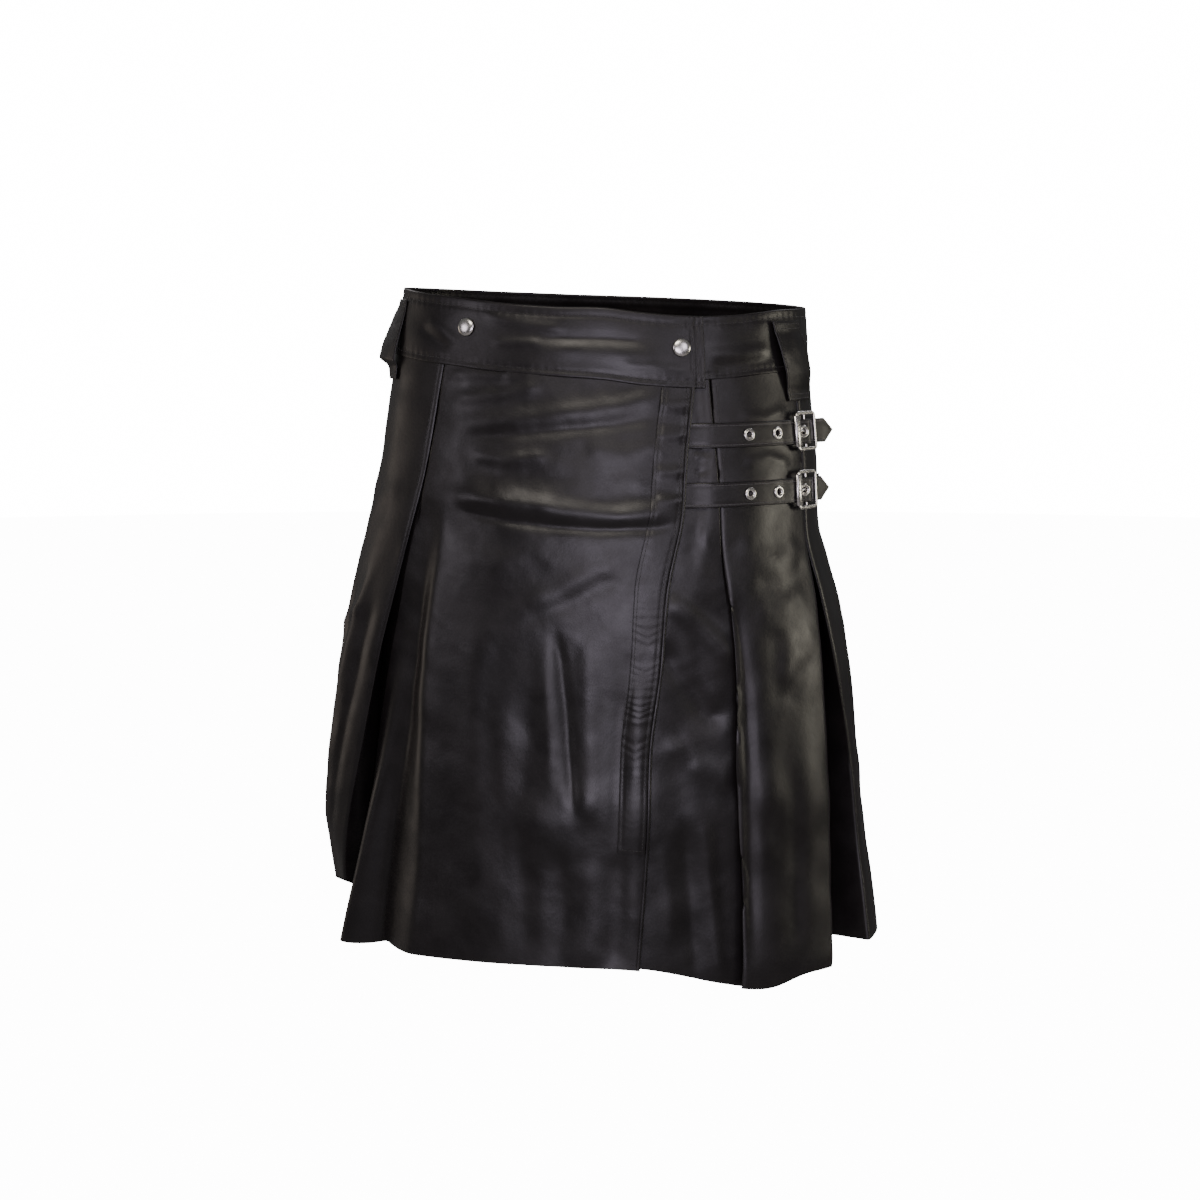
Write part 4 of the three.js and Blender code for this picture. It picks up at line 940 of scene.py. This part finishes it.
def cross_bar(profile, sides):
    """Round body about an axis across the strap, from the points (radius, height) of its profile."""
    return turned_grid(profile, sides)[..., [0, 2, 1]]


bar_turn = np.linspace(0, 2 * np.pi, 17)
bar_out = 2.0 * squared(np.cos(bar_turn))
bar_up = 1.3 * squared(np.sin(bar_turn))
path, way = frame_path(FRAME_LENGTH, FRAME_HEIGHT, 3.0)
slim = mix(1, 0.72, np.clip(path[:, 0] / FRAME_LENGTH + 0.5, 0, 1))
frame_grid = np.stack([
    path[:, 0] - FRAME_BACK + way[:, 0] * slim * bar_out[:, None],
    path[:, 1] + way[:, 1] * slim * bar_out[:, None],
    SIDE_BAR_OFF + slim * bar_up[:, None],
], -1)
middle_bar = cross_bar([(0, -16), (1.2, -16), (1.2, 16), (0, 16)], 20) + [0, 0, CENTRE_BAR_OFF]
roller = cross_bar([(0, -14), (0.85, -14), (1, -13.4), (1, 13.4), (0.85, 14), (0, 14)], 24) * [4.2, 1, 2.1]
roller += [-14.3, 0, SIDE_BAR_OFF]
# Two lugs join the middle bar to the frame.
lug = cross_bar([(0, -1.5), (1.9, -1.5), (1.9, 1.5), (0, 1.5)], 12) * [1, 1, 1.3]
lugs = [lug + [0, side * FRAME_HEIGHT / 2, 5.2] for side in (-1, 1)]
route = np.array([
    (-1.9, 4.6, 0), (-2.4, 3.9, 0), (-4.2, 3.8, 0), (-5.7, 5.2, 0),
    (-6.5, 7.6, 0), (-8.4, 9.5, 0), (-12, 9.7, 0), (-16, 9.5, 0),
])
smooth_route = rolled(route[None], [4] * 7)[0, :, :2]
taper = 0.95 * np.sqrt(np.clip(1 - np.linspace(0, 1, len(smooth_route)) ** 14, 0.12, 1))
prong_arm = tube_grid(smooth_route, taper)
eye_turn = np.linspace(0, 2 * np.pi, 33)
eye_round = np.linspace(0, 2 * np.pi, 11)[:, None]
eye_radius = 2.15 + 0.62 * np.cos(eye_round)
prong_eye = np.stack([eye_radius * np.cos(eye_turn), 1.4 * np.sin(eye_round) + 0 * eye_turn,
                      CENTRE_BAR_OFF + eye_radius * np.sin(eye_turn)], -1)
for place, z in strap_heights.items():
    seat = strap_frame(z, 0.0, 0.0)
    parts = {"buckle_": (frame_grid, middle_bar, roller, *lugs), "prong_": (prong_arm, prong_eye)}
    for kind, grids in parts.items():
        name = kind + place
        body = metal_body(name + "_nickel", [placed(grid, seat) for grid in grids])
        dress(body, [name], nickel)
    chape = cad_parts["chape_" + place]
    chape.data.materials.clear()
    chape.data.materials.append(leather)

# The snaps: domed caps of 16 mm, nickel plated, which hold the waistband's two laps together. They are
# clenched through the outer lap near both its ends.
snap_profile = [(0, 0), (7.4, 0), (7.9, 0.35), (8.0, 0.8), (7.7, 1.3), (7.0, 1.85), (5.8, 2.35), (4.2, 2.75),
                (2.2, 2.98), (0, 3.05)]
SNAP_DOWN = 24.5  # from the waistband's top edge
snap_angles = {"snap_right": -40.4, "snap_left": 21.3}


def plan_frame(angle, z, off):
    """Origin and axes on the garment: x to the wearer's left, y up, z outwards, square to the surface."""
    along = surface(angle + 1, z, 0) - surface(angle - 1, z, 0)
    up = surface(angle, z + 5, 0) - surface(angle, z - 5, 0)
    out = np.cross(along, up)
    x, out = along / np.linalg.norm(along), out / np.linalg.norm(out)
    return surface(angle, z, off), np.array([x, np.cross(out, x), out])


for name, angle in snap_angles.items():
    seat = plan_frame(angle, float(top_edge(angle)) - SNAP_DOWN, BAND_WALL / 2 + 0.6)
    cap = metal_body(name + "_nickel", [placed(turned_grid(snap_profile, 48), seat)])
    dress(cap, [name], nickel)

# The belt loops: five strips of nappa, 40 mm wide, sewn on near the waistband's top and again just below it.
# Between the two they stand off the band, so that a belt goes behind them.
LOOP_TOP = 10  # from the waistband's top edge
LOOP_LENGTH = 72
LOOP_HALF = 20  # half its width
# The angle of each loop's top, and how many degrees further left its foot is.
loop_places = {
    "belt_loop_front_left": (62, 6),
    "belt_loop_back_left": (118, 0),
    "belt_loop_back": (180, 0),
    "belt_loop_back_right": (-125, 0),
    "belt_loop_front_right": (-83, 0),
}
loop_off = curve([10, 19, 27, 40, 54, 66, 72, 82], [2.6, 2.8, 8.6, 10.2, 9.4, 3.4, 2.1, 2.0])
loop_down = np.linspace(LOOP_TOP, LOOP_TOP + LOOP_LENGTH, 64)[:, None]
loop_share = np.concatenate([[-1, -0.985, -0.95], np.linspace(-0.9, 0.9, 19), [0.95, 0.985, 1]])
# The front left loop lies flatter, and the front right one droops, with its front edge nearer the band.
loop_shapes = {
    "belt_loop_front_left": (
        curve([10, 19, 27, 40, 54, 66, 74, 82], [2.6, 2.8, 4.6, 6.2, 6.6, 4.6, 2.6, 2.2]), 0.1,
    ),
    "belt_loop_front_right": (
        curve([10, 16, 27, 40, 54, 63, 71, 80], [2.6, 2.8, 5, 7.6, 10, 10.6, 4, 2.2]), -0.4,
    ),
}
for number, (name, (angle, slant)) in enumerate(loop_places.items()):
    middle = angle + slant * (loop_down - LOOP_TOP) / LOOP_LENGTH
    z = top_edge(turned(middle)) - loop_down
    across = loop_share * LOOP_HALF
    to_side = LOOP_HALF - np.abs(across)
    to_end = np.minimum(loop_down - LOOP_TOP, LOOP_TOP + LOOP_LENGTH - loop_down)
    rim = np.sqrt(np.clip(to_side / 0.9, 0.04, 1)) * np.sqrt(np.clip(to_end / 0.6, 0.1, 1))
    shape, lean = loop_shapes.get(name, (loop_off, 0))
    lie = shape(loop_down) * (1 + lean * across / LOOP_HALF * ease(to_end / 14))
    lie += slack(across, loop_down, 24, 0.16, 60 + number) * ease(to_end / 12)
    lie -= 0.18 * bell(to_side - 3, 0.9)
    spread = middle + across / per_degree(middle, z)
    outer = surface(spread, z, lie + LEATHER / 2 * rim)
    loop = shell(name + "_leather", outer, surface(spread, z, lie - LEATHER / 2 * rim))
    skins[name] = (outer, normals_of(outer))
    dress(loop, [name])

# The seams: black bonded thread in rows of 3 mm stitches. Two rows go round the waistband, more down its
# outer end, the placket, the upper pleat edges, the straps and the belt loops, laid on the finished leather.
thread = new_finish("black_thread", {
    "Base Color": (0.006, 0.005, 0.005, 1),
    "Roughness": 0.45,
    "Sheen Weight": 0.15,
})[0]
# The straps' thread is painted lighter grey: a painted glint that stands in for light catching the black
# stitches.
painted_glint_thread = thread.copy()
painted_glint_thread.name = "painted_glint_thread"
set_inputs(painted_glint_thread.node_tree.nodes["Principled BSDF"], {"Base Color": (0.07, 0.065, 0.07, 1)})


def trace(name, rows, columns):
    """Points and normals of a piece's grain side at fractional rows and columns: a straight mix of the four
    grid points around each."""
    rows, columns = np.broadcast_arrays(np.asarray(rows, float), columns)
    points, normal = skins[name]
    r = np.clip(rows.astype(int), 0, points.shape[0] - 2)
    c = np.clip(columns.astype(int), 0, points.shape[1] - 2)
    u, v = (rows - r)[:, None], (columns - c)[:, None]
    return [
        mix(mix(grid[r, c], grid[r + 1, c], u), mix(grid[r, c + 1], grid[r + 1, c + 1], u), v)
        for grid in (points, normal)
    ]


def inset(name, rows, start, distance):
    """Fractional columns at a distance in millimetres from a start column, to its right if positive."""
    along = lengths_along(skins[name][0][np.round(rows).astype(int)])
    return np.array([np.interp(a[start] + distance, a, np.arange(len(a))) for a in along])


# One stitch: a six-sided spindle of four rings along x, sunk at its ends.
spindle_turn = np.linspace(0, 2 * np.pi, 6, endpoint=False)
spindle = np.stack([
    np.repeat([-1.3, -1.0, 1.0, 1.3], 6),
    np.outer([0.1, 0.25, 0.25, 0.1], np.cos(spindle_turn)).ravel(),
    np.outer([0.1, 0.22, 0.22, 0.1], np.sin(spindle_turn)).ravel() + 0.08 * np.repeat([-1, 1, 1, -1], 6),
], 1)
spindle_faces = np.concatenate([
    ring_faces(4, 6, 0)[:, ::-1],
    [[0, 1, 2, 3], [0, 3, 4, 5], [21, 20, 19, 18], [23, 22, 21, 18]],
])


def stitch_row(path, pitch=3.2):
    """Stitches of one row: copies of the spindle along a path of points and normals, one for each pitch."""
    points, normal = path
    along = lengths_along(points)
    centre = np.arange(pitch / 2, along[-1], pitch)

    def pick(values, at):
        """Values of the path at lengths along it."""
        return np.stack([np.interp(at, along, v) for v in values.T], 1)

    x = pick(points, centre + 0.4) - pick(points, centre - 0.4)
    x /= np.linalg.norm(x, axis=1, keepdims=True)
    y = np.cross(pick(normal, centre), x)
    y /= np.linalg.norm(y, axis=1, keepdims=True)
    return pick(points, centre)[:, None] + spindle @ np.stack([x, y, np.cross(x, y)], 1)


def edge_row(name, rows, start, distance, pitch=3.2):
    """Row of stitches down a piece, at a distance in millimetres from one of its columns."""
    return stitch_row(trace(name, rows, inset(name, rows, start, distance)), pitch)


def sew(name, rows, colour=thread):
    """One object with all the stitches of the rows."""
    points = np.concatenate(rows)
    faces = spindle_faces + len(spindle) * np.arange(len(points))[:, None, None]
    return dress(smooth_piece(name, points.reshape(-1, 3), faces.reshape(-1, 4)), (), colour)


band_rows = []
for stitch_line in (7.6, 54.6):
    row = np.interp(stitch_line, down, np.arange(len(down)))
    band_rows.append(stitch_row(trace("waistband", row, np.arange(1.0, len(turn) - 1))))
for stitch_line in END_STITCHES:
    band_rows.append(edge_row("waistband", np.linspace(4, len(down) - 5, 80), len(turn) - 1, -stitch_line))
sew("waistband_stitches", band_rows)

rows = np.linspace(2, len(placket_row) - 3, 400)
last = len(strip_share) - 1
placket_rows = [edge_row("placket_strip", rows, 0, 3.0), edge_row("placket_strip", rows, last, -3.0)]
foot = np.linspace(2.2, last - 2.2, 20)
placket_rows.append(stitch_row(trace("placket_strip", len(placket_row) - 3, foot)))
# Two short rows of close stitches hold the top of the lap.
for distance in (-1.6, -4.6):
    placket_rows.append(edge_row("placket_strip", np.linspace(0, 8, 40), last, distance, 2.2))
sew("placket_stitches", placket_rows)

# Each pleat is stitched beside both its outer folds, as far down as it is closed.
OUTER_FOLDS = ((23, 4.0), (77, -4.0))  # their columns, and the way to the stitches from each
rows = np.linspace(1, 54, 110)
pleat_rows = []
for name in ("pleat_left_1", *back_pleats):
    pleat_rows += [edge_row(name, rows, start, distance) for start, distance in OUTER_FOLDS]
sew("pleat_stitches", pleat_rows)

# Down both edges of each strap, and to and fro over its root under the apron.
strap_rows = []
zigzag = np.abs((np.arange(121) / 6) % 2 - 1) * 1.1 - 0.55
for name in ("strap_upper", "strap_lower"):
    columns = np.arange(2.0, skins[name][0].shape[1] - 10)
    for up, along, pitch in ((0.77, columns, 3.0), (-0.77, columns, 3.0), (zigzag, 0, 2.9)):
        row = np.interp(-up, -strap_share[:, 0], np.arange(len(strap_share)))
        strap_rows.append(stitch_row(trace(name, row, along), pitch))
# The straps' stitches take the lighter grey thread, a painted glint on what is black thread.
sew("strap_stitches", strap_rows, painted_glint_thread)

loop_rows = []
for name in loop_places:
    rows = np.linspace(1, 62, 80)
    loop_rows += [edge_row(name, rows, 0, 3.0), edge_row(name, rows, len(loop_share) - 1, -3.0)]
    for row in (2.5, 6.0, 57.5, 61.0):
        loop_rows.append(stitch_row(trace(name, row, np.linspace(3, 21, 30)), 3.0))
sew("belt_loop_stitches", loop_rows)

# The stage: a wide plain pale floor well below the hem, a white surround, and soft boxes of light: a big warm
# one above the front, a small one straight in front, two on either side and two behind.
FLOOR_LEVEL = -1.0
FLOOR_RADIUS = 9.0
turns = np.linspace(0, 2 * np.pi, 96, endpoint=False)
rim = np.stack([FLOOR_RADIUS * np.cos(turns), FLOOR_RADIUS * np.sin(turns), FLOOR_LEVEL + 0 * turns], 1)
floor_mesh = bpy.data.meshes.new("floor")
floor_mesh.from_pydata(rim, [], [list(range(len(rim)))])
floor = bpy.data.objects.new("floor", floor_mesh)
bpy.context.collection.objects.link(floor)
paper, shader, nodes, link = new_finish("pale_paper", {
    "Base Color": (0.3, 0.3, 0.3, 1),
    "Roughness": 0.9,
    "Specular IOR Level": 0.0,
    "Emission Color": (1, 1, 1, 1),
})
glow = nodes.new("ShaderNodeMath")
glow.operation = "MULTIPLY"
glow.inputs[1].default_value = 14.0
link(nodes.new("ShaderNodeLightPath").outputs["Is Camera Ray"], glow.inputs[0])
link(glow.outputs["Value"], shader.inputs["Emission Strength"])
floor_mesh.materials.append(paper)

world = bpy.data.worlds.new("surround")
bpy.context.scene.world = world
world.use_nodes = True
nodes, link = world.node_tree.nodes, world.node_tree.links.new
sky = nodes["Background"]
ray = nodes.new("ShaderNodeLightPath")
level = nodes.new("ShaderNodeMapRange")
set_inputs(level, {"To Min": 0.12, "To Max": 16.0})
link(ray.outputs["Is Camera Ray"], level.inputs["Value"])
link(level.outputs["Result"], sky.inputs["Strength"])
sky.inputs["Color"].default_value = (1, 1, 1, 1)


def soft_box(name, place, aim, size, power, tint):
    """Area light at a place that faces the aim."""
    data = bpy.data.lights.new(name, "AREA")
    data.shape = "RECTANGLE"
    data.size, data.size_y = size
    data.energy = power
    data.color = tint
    light = bpy.data.objects.new(name, data)
    light.location = place
    light.rotation_euler = (Vector(aim) - Vector(place)).to_track_quat("-Z", "Y").to_euler()
    bpy.context.collection.objects.link(light)


soft_box("key_above", (-0.3, -2.0, 1.7), (0, 0, -0.25), (1.8, 0.9), 36, (1.0, 0.92, 0.83))
soft_box("front", (0.10, -1.5, -0.20), (0, 0, -0.32), (1.0, 0.5), 8, (0.92, 0.84, 1.0))
soft_box("left", (-2.1, -1.2, 0.15), (-0.1, 0, -0.35), (0.8, 0.8), 6, (0.98, 0.89, 1.0))
soft_box("brown_left", (-1.7, 0.7, -0.30), (0, 0, -0.3), (0.9, 0.9), 2, (1.0, 0.85, 0.74))
soft_box("olive_right", (1.9, -0.1, -0.15), (0.1, 0, -0.25), (0.5, 0.5), 6, (1.0, 0.94, 0.78))
soft_box("cool_right", (1.6, -1.9, 0.5), (0.1, 0, -0.25), (0.7, 0.9), 7, (0.94, 0.87, 1.0))
soft_box("back_left", (-1.6, 2.0, 1.2), (0, 0, -0.3), (1.0, 1.0), 8, (1.0, 0.95, 0.95))
soft_box("back_right", (1.5, 1.3, 1.6), (0, 0, -0.1), (1.0, 0.6), 10, (0.95, 0.95, 1.0))
